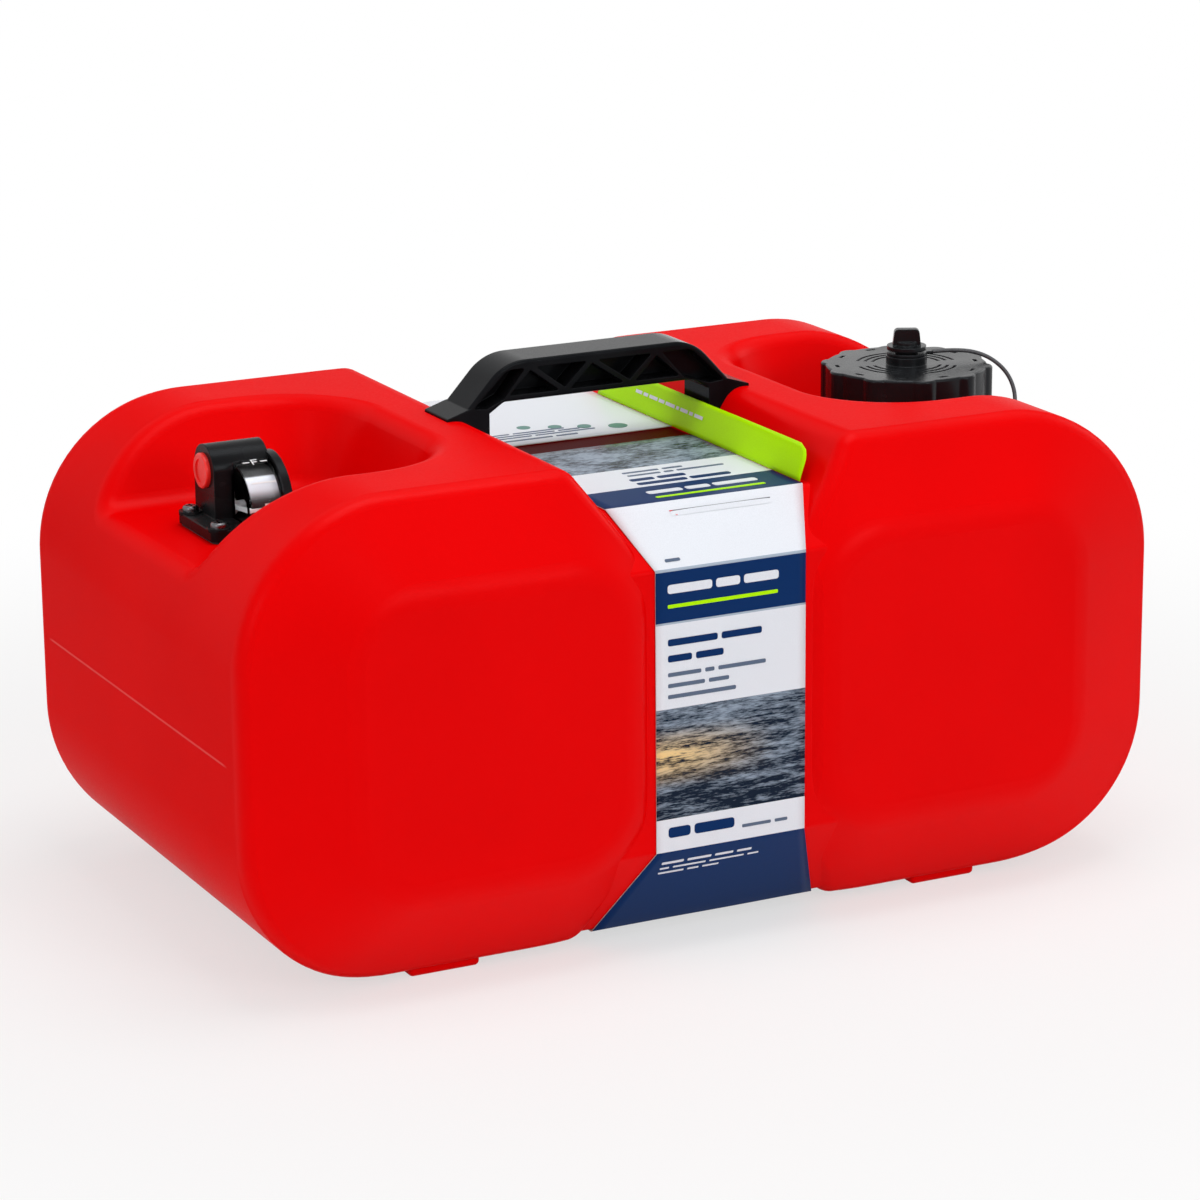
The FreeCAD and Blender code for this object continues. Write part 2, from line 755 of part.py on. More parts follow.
def crankDisc(x0, y, z, thickness, pinEnd):
    # Hub with a short crank arm; its pin runs to one side only.
    hub = rod(hubRadius, x0, x0 + thickness, y, z)
    pinY, pinZ = turned(y, z, crankRadius, crankRest)
    arm = box(x0, x0 + thickness, 0, crankRadius, -crankHalfWidth, crankHalfWidth)
    arm.rotate(Vector(0, 0, 0), Vector(1, 0, 0), crankRest)
    arm.translate(Vector(0, y, z))
    tip = rod(crankHalfWidth, x0, x0 + thickness, pinY, pinZ)
    near, far = sorted((x0 + thickness / 2, pinEnd))
    pin = rod(crankPinRadius, near, far, pinY, pinZ)
    return hub.fuse([arm, tip, pin])


def gaugeNeedle():
    disc = crankDisc(needleX, pivotY, pivotZ, needleThickness, rodX + rodThickness + 0.2)
    spoke = box(needleX, needleX + needleThickness, -needleRadius + 0.5, 0, -1.1, 1.1)
    bar = box(needleX, lensX1 - 2.5, -needleRadius, -needleRadius + 1.5, -needleBar / 2,
              needleBar / 2)
    pointer = spoke.fuse(bar)
    pointer.rotate(Vector(0, 0, 0), Vector(1, 0, 0), -needleRest)
    pointer.translate(Vector(0, pivotY, pivotZ))
    bush = rod(hubRadius * 0.7, needleX, needleX + 6, pivotY, pivotZ)
    body = disc.fuse([pointer, bush]).removeSplitter()
    return body.cut(rod(axleRadius, needleX - 5, lensX1, pivotY, pivotZ))


def needleAxle():
    return rod(axleRadius, lensX0 + 0.8, lensX1 + 1.9, pivotY, pivotZ)


def pushRod():
    topY, topZ = turned(pivotY, pivotZ, crankRadius, crankRest)
    lowY, lowZ = turned(pivotY, floatPivotZ, crankRadius, crankRest)
    x1 = rodX + rodThickness
    strip = box(rodX, x1, topY - rodWidth / 2, topY + rodWidth / 2, lowZ, topZ)
    ends = [rod(rodWidth / 2, rodX, x1, topY, topZ), rod(rodWidth / 2, rodX, x1, lowY, lowZ)]
    fit = crankPinRadius + runningFit
    holes = [rod(fit + topPinPlay, rodX - 1, x1 + 1, topY, topZ),
             rod(fit, rodX - 1, x1 + 1, lowY, lowZ)]
    return strip.fuse(ends).removeSplitter().cut(holes)


def armAim():
    angle = math.radians(floatArmRest)
    return Vector(0, -math.cos(angle), -math.sin(angle))


def alongArm(distance):
    return Vector(armX + armThickness / 2, pivotY, floatPivotZ) + armAim() * distance


def floatArm():
    disc = crankDisc(armX, pivotY, floatPivotZ, armThickness, rodX - 0.2)
    reach = floatArmLength + floatLength / 2 + 3
    wire = Part.makeCylinder(armWireRadius, reach, alongArm(0), armAim())
    body = disc.fuse(wire).removeSplitter()
    return body.cut(rod(axleRadius + runningFit, armX - 1, armX + 10, pivotY, floatPivotZ))


def gaugeFloat():
    start = alongArm(floatArmLength - floatLength / 2)
    body = Part.makeCylinder(floatRadius, floatLength, start, armAim())
    body = body.makeFillet(3, body.Edges[:])
    bore = Part.makeCylinder(armWireRadius + 0.1, floatLength + 20, start - armAim() * 10,
                             armAim())
    return body.cut(bore)


def floatClips():
    starts = [alongArm(floatArmLength - floatLength / 2 - clipThickness),
              alongArm(floatArmLength + floatLength / 2)]
    clips = []
    for start in starts:
        disc = Part.makeCylinder(clipRadius, clipThickness, start, armAim())
        wire = Part.makeCylinder(armWireRadius, 30, start - armAim() * 10, armAim())
        clips.append(disc.cut(wire))
    return Part.makeCompound(clips)


def floatBracket():
    low, half = floatPivotZ - 6, bracketHalfWidth
    corners = [(pivotY - half, low), (pivotY + half, low), (pivotY + half, flangeBottom),
               (pivotY - half, flangeBottom)]
    strip = plateYZ(corners, [4, 4, 0, 0], bracketX, bracketX + bracketThickness)
    return strip.cut(rod(axleRadius, bracketX - 1, bracketX + 10, pivotY, floatPivotZ))


def floatPivotPin():
    end = bracketX + bracketThickness
    shank = rod(axleRadius, armX, end, pivotY, floatPivotZ)
    head = rod(axleRadius + 1.2, end, end + 1.2, pivotY, floatPivotZ)
    return shank.fuse(head).removeSplitter()


def cavityFloorAt(x):
    # Height of the inside floor where the big end corner rises towards the end of the tank.
    across = max(abs(x) - (halfLength - endRadius), 0)
    return footHeight + endRadius - math.sqrt((endRadius - wall) ** 2 - across ** 2)


def pickupTube():
    return ring(tubeRadius, tubeBore, tubeX, riserY, filterBottom() + filterBase,
                flangeBottom + tubeSocket)


def filterBottom():
    return cavityFloorAt(tubeX - filterRadius) + filterFloorGap


def pickupFilter():
    x, z0 = tubeX, filterBottom()
    body = post(filterRadius, x, riserY, z0, z0 + filterLength)
    body = body.makeFillet(1.5, body.Edges[:])
    slots = []
    for k in range(12):
        slot = box(x + tubeRadius + 1.4, x + filterRadius + 1, riserY - 0.8, riserY + 0.8,
                   z0 + filterBase, z0 + filterLength - 3)
        slot.rotate(Vector(x, riserY, 0), Vector(0, 0, 1), 30 * k)
        slots.append(slot)
    bore = post(tubeRadius, x, riserY, z0 + filterBase, z0 + filterLength + 1)
    return body.cut([bore] + slots)


def outletPlug():
    x0 = gaugeX + blockLeft
    head = rod(plugHeadRadius, x0 - plugHeadThickness, x0, portY, portZ)
    head = head.makeFillet(0.9, [e for e in head.Edges if e.BoundBox.XMax < x0 - 1
                                 and e.Length > 20])
    dish = rod(plugHeadRadius - 3, x0 - plugHeadThickness - 1, x0 - plugHeadThickness + 0.8,
               portY, portZ)
    stem = rod(portBore - plugFit, x0, x0 + portDepth - 1.5, portY, portZ)
    groove = rod(portBore + 1, x0 + 3.8, x0 + 3.8 + 2 * sealSection + 0.2, portY, portZ)
    core = rod(portBore - 2 * sealSection - 0.15, x0 + 3, x0 + 6.5, portY, portZ)
    return head.cut(dish).fuse(stem.cut(groove).fuse(core)).removeSplitter()


def outletSeal():
    x = gaugeX + blockLeft + 3.9 + sealSection
    return Part.makeTorus(portBore - plugFit - sealSection, sealSection * 0.95,
                          Vector(x, portY, portZ), Vector(1, 0, 0))


def flangeScrews():
    screws = []
    for x, y in screwPlaces():
        z0 = flangeTop + screwBossHeight
        head = post(screwHeadRadius, x, y, z0, z0 + screwHeadHeight)
        head = head.makeFillet(1.4, [e for e in head.Edges if e.BoundBox.ZMin > z0 + 1])
        shank = post(screwRadius, x, y, z0 - screwLength, z0 + 1)
        recess = [box(x - 2.2, x + 2.2, y - 0.5, y + 0.5, z0 + 1.2, z0 + 5),
                  box(x - 0.5, x + 0.5, y - 2.2, y + 2.2, z0 + 1.2, z0 + 5)]
        screws.append(head.fuse(shank).cut(recess).removeSplitter())
    return Part.makeCompound(screws)


def threadedInserts():
    inserts = [ring(insertRadius, screwRadius, x, y, pocketFloor - insertLength, pocketFloor)
               for x, y in screwPlaces()]
    return Part.makeCompound(inserts)


def sleeveProfile():
    # Half width of the wrap at each height, seen from the front.
    top, bottom = waistTop + 10, waistBottom - 10
    return [(-sleeveBottomHalf, bottom), (sleeveBottomHalf, bottom),
            (sleeveBottomHalf, waistBottom), (sleeveFrontHalf, waistSill),
            (sleeveFrontHalf, waistShoulder), (sleeveTopHalf, waistTop), (sleeveTopHalf, top),
            (-sleeveTopHalf, top), (-sleeveTopHalf, waistTop), (-sleeveFrontHalf, waistShoulder),
            (-sleeveFrontHalf, waistSill), (-sleeveBottomHalf, waistBottom)]


def labelSleeve():
    wrap = waist(-sleeveGap - sleeveThickness).cut(waist(-sleeveGap))
    profile = plateXZ(sleeveProfile(), [0] * 12, -waistHalfDepth - 20, waistHalfDepth + 20)
    window = box(-waistReach, waistReach, sleeveWindowFront, sleeveWindowBack, waistTop - 5,
                 waistTop + 10)
    return wrap.common(profile).cut(window)


def sleeveFlap():
    z0 = waistTop + sleeveGap + sleeveThickness
    flat = plateXY([(0, flapFront), (flapHeight, flapFront), (flapHeight, flapBack),
                    (0, flapBack)], [0.5, flapCorner, flapCorner, 0.5], 0, sleeveThickness)
    flat.rotate(Vector(0, 0, 0), Vector(0, 1, 0), -math.degrees(math.atan2(flapHeight, flapLean)))
    flat.translate(Vector(sleeveTopHalf - 0.4, 0, z0))
    return flat


nodes = {
    "tank_shell": tankShell,
    "filler_cap": fillerCap,
    "cap_gasket": capGasket,
    "vent_knob": ventKnob,
    "vent_seal": ventSeal,
    "tether_cap_ring": tetherCapRing,
    "tether_neck_ring": tetherNeckRing,
    "tether_strap": lambda: tubeAlong(tetherPoints(), tetherRadius, "tether"),
    "carry_handle": handle,
    "gauge_housing": gaugeHousing,
    "gauge_gasket": gaugeGasket,
    "gauge_lens": gaugeLens,
    "dial_scale": dialScale,
    "gauge_needle": gaugeNeedle,
    "needle_axle": needleAxle,
    "push_rod": pushRod,
    "float_bracket": floatBracket,
    "float_pivot_pin": floatPivotPin,
    "float_arm": floatArm,
    "gauge_float": gaugeFloat,
    "float_clips": floatClips,
    "pickup_tube": pickupTube,
    "pickup_filter": pickupFilter,
    "outlet_plug": outletPlug,
    "outlet_seal": outletSeal,
    "flange_screws": flangeScrews,
    "threaded_inserts": threadedInserts,
    "label_sleeve": labelSleeve,
    "sleeve_flap": sleeveFlap,
}

os.makedirs("parts", exist_ok=True)
for name, make in nodes.items():
    shape = make()
    shape.exportStep(f"parts/{name}.step")
    print(name, len(shape.Solids), "solids", round(shape.Volume), "mm3", shape.isValid())
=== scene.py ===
import math

import bmesh
import bpy
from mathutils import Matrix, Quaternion, Vector, noise


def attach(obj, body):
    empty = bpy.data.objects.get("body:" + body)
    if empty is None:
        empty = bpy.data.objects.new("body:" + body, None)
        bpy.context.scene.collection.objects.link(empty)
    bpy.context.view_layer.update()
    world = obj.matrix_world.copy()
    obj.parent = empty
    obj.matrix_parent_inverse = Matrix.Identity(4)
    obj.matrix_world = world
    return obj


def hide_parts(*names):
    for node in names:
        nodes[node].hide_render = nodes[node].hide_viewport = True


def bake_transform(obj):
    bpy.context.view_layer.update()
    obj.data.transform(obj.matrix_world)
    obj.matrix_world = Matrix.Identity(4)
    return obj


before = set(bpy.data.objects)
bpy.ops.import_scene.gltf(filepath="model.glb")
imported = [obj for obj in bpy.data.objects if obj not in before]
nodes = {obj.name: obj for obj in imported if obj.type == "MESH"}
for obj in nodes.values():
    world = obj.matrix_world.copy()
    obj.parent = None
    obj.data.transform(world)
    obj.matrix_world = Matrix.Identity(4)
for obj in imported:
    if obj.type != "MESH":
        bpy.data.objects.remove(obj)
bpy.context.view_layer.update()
scene = bpy.context.scene
print("frame loaded with", len(nodes), "nodes")


# Camera, at the photograph's angle
camera = {
    "azimuth": -26.731,
    "elevation": 15.79,
    "roll": -0.489,
    "target": (0.005455, 0.000092, 0.137071),
    "distance": 2.13575,
    "lens": 124.67,
    "sensor": 36.0,
}


def makeCamera(spec):
    az, el = math.radians(spec["azimuth"]), math.radians(spec["elevation"])
    back = Vector((math.sin(az) * math.cos(el), -math.cos(az) * math.cos(el), math.sin(el)))
    data = bpy.data.cameras.new("camera")
    data.lens = spec["lens"]
    data.sensor_width = spec["sensor"]
    data.clip_end = 50
    eye = bpy.data.objects.new("camera", data)
    eye.location = Vector(spec["target"]) + back * spec["distance"]
    turn = Quaternion((0, 0, 1), math.radians(spec["roll"]))
    eye.rotation_euler = ((-back).to_track_quat("-Z", "Y") @ turn).to_euler()
    scene.collection.objects.link(eye)
    scene.camera = eye


makeCamera(camera)
scene.view_settings.view_transform = "Standard"
print("camera ready")


# Small tools for shader nodes. Values are sockets or plain numbers
def mathNode(tree, operation, a, b=None, clamp=False):
    node = tree.nodes.new("ShaderNodeMath")
    node.operation = operation
    node.use_clamp = clamp
    for socket, value in zip(node.inputs, (a, b)):
        if value is None:
            continue
        if isinstance(value, (int, float)):
            socket.default_value = value
        else:
            tree.links.new(value, socket)
    return node.outputs[0]


def mixColour(tree, factor, a, b):
    node = tree.nodes.new("ShaderNodeMix")
    node.data_type = "RGBA"
    colours = {socket.name: socket for socket in node.inputs if socket.type == "RGBA"}
    tree.links.new(factor, node.inputs["Factor"])
    for socket, value in ((colours["A"], a), (colours["B"], b)):
        if isinstance(value, tuple):
            socket.default_value = (*value, 1)
        else:
            tree.links.new(value, socket)
    return [socket for socket in node.outputs if socket.type == "RGBA"][0]


def multiply(tree, first, *others):
    for other in others:
        first = mathNode(tree, "MULTIPLY", first, other)
    return first


def absolute(tree, value):
    return mathNode(tree, "ABSOLUTE", value)


def mapRange(tree, value, low, high, toLow=0.0, toHigh=1.0, smooth=False):
    node = tree.nodes.new("ShaderNodeMapRange")
    node.interpolation_type = "SMOOTHSTEP" if smooth else "LINEAR"
    tree.links.new(value, node.inputs["Value"])
    for name, number in (("From Min", low), ("From Max", high), ("To Min", toLow), ("To Max", toHigh)):
        node.inputs[name].default_value = number
    return node.outputs["Result"]


def newGroup(name, inputs, outputs):
    group = bpy.data.node_groups.new(name, "ShaderNodeTree")
    for label, kind, value in inputs:
        socket = group.interface.new_socket(label, in_out="INPUT", socket_type=kind)
        socket.default_value = value
    for label, kind in outputs:
        group.interface.new_socket(label, in_out="OUTPUT", socket_type=kind)
    return group, group.nodes.new("NodeGroupInput"), group.nodes.new("NodeGroupOutput")


def useGroup(tree, group, **values):
    node = tree.nodes.new("ShaderNodeGroup")
    node.node_tree = group
    for name, value in values.items():
        node.inputs[name.replace("_", " ")].default_value = value
    return node


def objectPlace(tree):
    return tree.nodes.new("ShaderNodeTexCoord").outputs["Object"]


def noiseNode(tree, place, scale, detail=3.0, roughness=0.5, stretch=None):
    if stretch:
        mapping = tree.nodes.new("ShaderNodeMapping")
        mapping.inputs["Scale"].default_value = stretch
        tree.links.new(place, mapping.inputs["Vector"])
        place = mapping.outputs["Vector"]
    node = tree.nodes.new("ShaderNodeTexNoise")
    tree.links.new(place, node.inputs["Vector"])
    node.inputs["Scale"].default_value = scale
    node.inputs["Detail"].default_value = detail
    node.inputs["Roughness"].default_value = roughness
    return node.outputs["Fac"]


# Shared effect: the fine grain and slow waviness of moulded plastic
def makeMouldGrain():
    group, given, result = newGroup(
        "mouldGrain",
        [("Grain Scale", "NodeSocketFloat", 1800.0), ("Wave Scale", "NodeSocketFloat", 14.0),
         ("Grain", "NodeSocketFloat", 0.3), ("Wave", "NodeSocketFloat", 1.0)],
        [("Height", "NodeSocketFloat"), ("Grain Mask", "NodeSocketFloat"), ("Wave Mask", "NodeSocketFloat")])
    place = objectPlace(group)
    fine = group.nodes.new("ShaderNodeTexNoise")
    slow = group.nodes.new("ShaderNodeTexNoise")
    for node, name, detail in ((fine, "Grain Scale", 2.0), (slow, "Wave Scale", 2.0)):
        group.links.new(place, node.inputs["Vector"])
        group.links.new(given.outputs[name], node.inputs["Scale"])
        node.inputs["Detail"].default_value = detail
    fineHeight = mathNode(group, "MULTIPLY", fine.outputs["Fac"], given.outputs["Grain"])
    slowHeight = mathNode(group, "MULTIPLY", slow.outputs["Fac"], given.outputs["Wave"])
    group.links.new(mathNode(group, "ADD", fineHeight, slowHeight), result.inputs["Height"])
    group.links.new(fine.outputs["Fac"], result.inputs["Grain Mask"])
    group.links.new(slow.outputs["Fac"], result.inputs["Wave Mask"])
    return group


# Shared effect: a mask for a painted highlight, bright along sharp outer edges and broken up in patches
def makeEdgeRub():
    group, given, result = newGroup(
        "paintedEdgeHighlight",
        [("Radius", "NodeSocketFloat", 0.0008), ("Breakup Scale", "NodeSocketFloat", 220.0)],
        [("Mask", "NodeSocketFloat")])
    bevel = group.nodes.new("ShaderNodeBevel")
    bevel.samples = 4
    group.links.new(given.outputs["Radius"], bevel.inputs["Radius"])
    geometry = group.nodes.new("ShaderNodeNewGeometry")
    dot = group.nodes.new("ShaderNodeVectorMath")
    dot.operation = "DOT_PRODUCT"
    group.links.new(bevel.outputs["Normal"], dot.inputs[0])
    group.links.new(geometry.outputs["Normal"], dot.inputs[1])
    turn = mapRange(group, dot.outputs["Value"], 0.995, 0.85)
    breakup = group.nodes.new("ShaderNodeTexNoise")
    group.links.new(objectPlace(group), breakup.inputs["Vector"])
    group.links.new(given.outputs["Breakup Scale"], breakup.inputs["Scale"])
    patchy = mapRange(group, breakup.outputs["Fac"], 0.35, 0.65, 0.35, 1.0)
    group.links.new(mathNode(group, "MULTIPLY", turn, patchy, clamp=True), result.inputs["Mask"])
    return group


mouldGrain = makeMouldGrain()
paintedEdgeHighlight = makeEdgeRub()


def newMaterial(name):
    material = bpy.data.materials.new(name)
    material.use_nodes = True
    tree = material.node_tree
    return material, tree, tree.nodes["Principled BSDF"]


def addBump(tree, shader, height, distance, strength=1.0, rounding=0.0):
    bump = tree.nodes.new("ShaderNodeBump")
    if rounding:
        bevel = tree.nodes.new("ShaderNodeBevel")
        bevel.samples = 6
        bevel.inputs["Radius"].default_value = rounding
        tree.links.new(bevel.outputs["Normal"], bump.inputs["Normal"])
    bump.inputs["Distance"].default_value = distance
    bump.inputs["Strength"].default_value = strength
    tree.links.new(height, bump.inputs["Height"])
    tree.links.new(bump.outputs["Normal"], shader.inputs["Normal"])


# Red blow-moulded shell
tankRed = {
    "colour": (0.86, 0.0004, 0.0010),
    "deepColour": (0.80, 0.0003, 0.0008),
    "edgeHighlightColour": (0.88, 0.02, 0.02),
    "glossTint": (1.0, 0.25, 0.26),
    "gloss": (0.10, 0.004),
    "glossFacing": (0.25, 0.66),
    "roughness": (0.28, 0.38),
    "partingColour": (0.95, 0.16, 0.15),
    "partingStart": (0.236, 0.240),
    "partingEnd": (0.122, 0.116),
    "partingHeight": 0.121,
    "partingWidth": 0.00045,
    # Painted shadow for the gap between the wrap's top panels: its dark colour, its strength and the box it
    # fills
    "paintedShadeColour": (0.03, 0.0003, 0.0006),
    "paintedShadeAmount": 0.88,
    "gapHalf": 0.0535,
    "gapFront": -0.008,
    "gapBack": 0.0126,
    "gapHeight": 0.2190,
    "gapBlur": 0.001,
}


def makeTankRed(spec):
    material, tree, shader = newMaterial("tankRed")
    grain = useGroup(tree, mouldGrain, Grain_Scale=900.0, Wave_Scale=9.0, Grain=0.10, Wave=1.0)
    edgeHighlight = useGroup(tree, paintedEdgeHighlight, Radius=0.0015, Breakup_Scale=160.0)
    place = tree.nodes.new("ShaderNodeSeparateXYZ")
    tree.links.new(objectPlace(tree), place.inputs[0])
    x, y, z = (place.outputs[name] for name in "XYZ")
    width = spec["partingWidth"]
    above = absolute(tree, mathNode(tree, "SUBTRACT", z, spec["partingHeight"]))
    parting = multiply(tree, mapRange(tree, above, width * 1.6, width * 0.6),
                       mapRange(tree, absolute(tree, x), *spec["partingStart"]),
                       mapRange(tree, absolute(tree, y), *spec["partingEnd"]))
    wave = mapRange(tree, grain.outputs["Wave Mask"], 0.3, 0.7)
    base = mixColour(tree, wave, spec["colour"], spec["deepColour"])
    # Painted highlight: sharp edges are lightened to a pinker red in patches
    withEdgeHighlight = mixColour(tree, multiply(tree, edgeHighlight.outputs["Mask"], 0.25), base, spec["edgeHighlightColour"])
    lined = mixColour(tree, multiply(tree, parting, 0.55), withEdgeHighlight, spec["partingColour"])
    # Painted shadow: the waist's red is darkened in the deep gap between the wrap's two top panels, standing
    # in for the shadow in that hollow
    blur = spec["gapBlur"]
    gap = multiply(tree, mapRange(tree, absolute(tree, x), spec["gapHalf"] + blur, spec["gapHalf"]),
                   mapRange(tree, z, spec["gapHeight"] - blur / 2, spec["gapHeight"]),
                   mapRange(tree, y, spec["gapFront"] - blur, spec["gapFront"]),
                   mapRange(tree, y, spec["gapBack"] + blur, spec["gapBack"]))
    withPaintedShade = mixColour(tree, multiply(tree, gap, spec["paintedShadeAmount"]), lined, spec["paintedShadeColour"])
    tree.links.new(withPaintedShade, shader.inputs["Base Color"])
    rough = mapRange(tree, grain.outputs["Grain Mask"], 0.3, 0.7, *spec["roughness"])
    tree.links.new(rough, shader.inputs["Roughness"])
    height = mathNode(tree, "ADD", grain.outputs["Height"], multiply(tree, parting, 1.2))
    addBump(tree, shader, height, 0.0006, 0.5)
    facing = tree.nodes.new("ShaderNodeLayerWeight")
    facing.inputs["Blend"].default_value = 0.5
    gloss = mapRange(tree, facing.outputs["Facing"], *spec["glossFacing"], *spec["gloss"], smooth=True)
    tree.links.new(gloss, shader.inputs["Specular IOR Level"])
    shader.inputs["Specular Tint"].default_value = (*spec["glossTint"], 1)
    return material


# Black injection-moulded plastic, for the cap, handle and gauge housing
blackPlastics = {
    "capBlack": {
        "colour": (0.0045, 0.0048, 0.0056),
        "roughness": (0.18, 0.28),
        "grainDepth": 0.00005,
        "edgeHighlight": 0.16,
        "gloss": 0.18,
    },
    "handleBlack": {
        "colour": (0.0040, 0.0043, 0.0052),
        "roughness": (0.11, 0.19),
        "grainDepth": 0.00005,
        "edgeHighlight": 0.10,
        "gloss": 0.05,
    },
    "housingBlack": {
        "colour": (0.0060, 0.0060, 0.0066),
        "roughness": (0.20, 0.32),
        "grainDepth": 0.00008,
        "edgeHighlight": 0.12,
        "gloss": 0.07,
    },
}


def makeBlackPlastic(name):
    spec = blackPlastics[name]
    material, tree, shader = newMaterial(name)
    grain = useGroup(tree, mouldGrain, Grain_Scale=2600.0, Wave_Scale=45.0, Grain=1.0, Wave=0.6)
    edgeHighlight = useGroup(tree, paintedEdgeHighlight, Radius=0.0007, Breakup_Scale=420.0)
    paler = tuple(c * 1.5 + 0.002 for c in spec["colour"])
    # Painted highlight: sharp edges are lightened to grey in patches
    highlightColour = tuple(c * 2.6 + 0.035 for c in spec["colour"])
    slow = mixColour(tree, mapRange(tree, grain.outputs["Wave Mask"], 0.3, 0.7), spec["colour"], paler)
    withEdgeHighlight = mixColour(tree, multiply(tree, edgeHighlight.outputs["Mask"], spec["edgeHighlight"]), slow, highlightColour)
    tree.links.new(withEdgeHighlight, shader.inputs["Base Color"])
    rough = mapRange(tree, grain.outputs["Wave Mask"], 0.3, 0.7, *spec["roughness"])
    tree.links.new(rough, shader.inputs["Roughness"])
    addBump(tree, shader, grain.outputs["Height"], spec["grainDepth"], 0.6, 0.0009)
    shader.inputs["Specular IOR Level"].default_value = spec["gloss"]
    shader.inputs["Specular Tint"].default_value = (0.84, 0.93, 1.0, 1)
    return material


# Plain rubber for seals, the float and the plug
def makeRubber(name, colour, roughness):
    material, tree, shader = newMaterial(name)
    grain = useGroup(tree, mouldGrain, Grain_Scale=3200.0, Wave_Scale=60.0, Grain=0.8, Wave=0.4)
    paler = tuple(min(c * 1.35 + 0.004, 1) for c in colour)
    slow = mixColour(tree, mapRange(tree, grain.outputs["Wave Mask"], 0.3, 0.7), colour, paler)
    tree.links.new(slow, shader.inputs["Base Color"])
    rough = mapRange(tree, grain.outputs["Grain Mask"], 0.3, 0.7, roughness - 0.06, roughness + 0.06)
    tree.links.new(rough, shader.inputs["Roughness"])
    addBump(tree, shader, grain.outputs["Height"], 0.00012, 0.5)
    return material


def makeMetal(name, colour, roughness, stretch):
    material, tree, shader = newMaterial(name)
    place = objectPlace(tree)
    lines = noiseNode(tree, place, 900.0, 3.0, 0.6, stretch)
    patches = noiseNode(tree, place, 70.0, 2.0)
    duller = tuple(c * 0.82 for c in colour)
    patchy = mixColour(tree, mapRange(tree, patches, 0.3, 0.7), colour, duller)
    tree.links.new(patchy, shader.inputs["Base Color"])
    rough = mapRange(tree, lines, 0.3, 0.7, roughness - 0.08, roughness + 0.10)
    tree.links.new(rough, shader.inputs["Roughness"])
    shader.inputs["Metallic"].default_value = 1.0
    addBump(tree, shader, lines, 0.00003, 0.4)
    return material


# The dial is black at the top, then a pale field that fades to black again at its foot
dial = {
    "black": (0.008, 0.008, 0.009),
    "pale": (0.72, 0.75, 0.80),
    "fieldTop": (0.2276, 0.2270),
    "fieldFoot": (0.2170, 0.2230),
    "roughness": (0.30, 0.42),
}


def makeDial(spec):
    material, tree, shader = newMaterial("dialBlack")
    grain = useGroup(tree, mouldGrain, Grain_Scale=2600.0, Wave_Scale=45.0, Grain=1.0, Wave=0.6)
    apart = tree.nodes.new("ShaderNodeSeparateXYZ")
    tree.links.new(objectPlace(tree), apart.inputs[0])
    height = apart.outputs["Z"]
    field = multiply(tree, mapRange(tree, height, *spec["fieldTop"]),
                     mapRange(tree, height, *spec["fieldFoot"], smooth=True))
    tree.links.new(mixColour(tree, field, spec["black"], spec["pale"]), shader.inputs["Base Color"])
    rough = mapRange(tree, grain.outputs["Grain Mask"], 0.3, 0.7, *spec["roughness"])
    tree.links.new(rough, shader.inputs["Roughness"])
    addBump(tree, shader, grain.outputs["Height"], 0.00003, 0.4)
    return material


def makeLensClear():
    material, tree, shader = newMaterial("lensClear")
    waves = noiseNode(tree, objectPlace(tree), 120.0, 1.0)
    tree.links.new(mapRange(tree, waves, 0.3, 0.7, 0.015, 0.05), shader.inputs["Roughness"])
    shader.inputs["Base Color"].default_value = (0.96, 0.97, 0.98, 1)
    shader.inputs["Transmission Weight"].default_value = 1.0
    shader.inputs["IOR"].default_value = 1.07
    addBump(tree, shader, waves, 0.00006, 0.3)
    return material


def makeInk(name, colour):
    material, tree, shader = newMaterial(name)
    speck = noiseNode(tree, objectPlace(tree), 2400.0, 2.0)
    duller = tuple(c * 0.9 for c in colour)
    tree.links.new(mixColour(tree, mapRange(tree, speck, 0.35, 0.65), colour, duller),
                   shader.inputs["Base Color"])
    shader.inputs["Roughness"].default_value = 0.45
    return material


materials = {
    "tankRed": makeTankRed(tankRed),
    "capBlack": makeBlackPlastic("capBlack"),
    "handleBlack": makeBlackPlastic("handleBlack"),
    "housingBlack": makeBlackPlastic("housingBlack"),
    "dialBlack": makeDial(dial),
    "tetherGrey": makeRubber("tetherGrey", (0.045, 0.047, 0.052), 0.42),
    "sealRubber": makeRubber("sealRubber", (0.012, 0.012, 0.012), 0.60),
    "floatFoam": makeRubber("floatFoam", (0.025, 0.025, 0.026), 0.75),
    "plugRed": makeRubber("plugRed", (0.72, 0.012, 0.008), 0.38),
    "needleWhite": makeRubber("needleWhite", (0.72, 0.73, 0.74), 0.35),
    "tubePale": makeRubber("tubePale", (0.62, 0.62, 0.57), 0.40),
    "steel": makeMetal("steel", (0.62, 0.62, 0.63), 0.26, (1, 1, 0.05)),
    "screwSteel": makeMetal("screwSteel", (0.16, 0.16, 0.17), 0.28, (1, 0.08, 1)),
    "brass": makeMetal("brass", (0.78, 0.58, 0.26), 0.28, (1, 1, 0.08)),
    "lensClear": makeLensClear(),
    "markWhite": makeInk("markWhite", (0.86, 0.87, 0.88)),
}

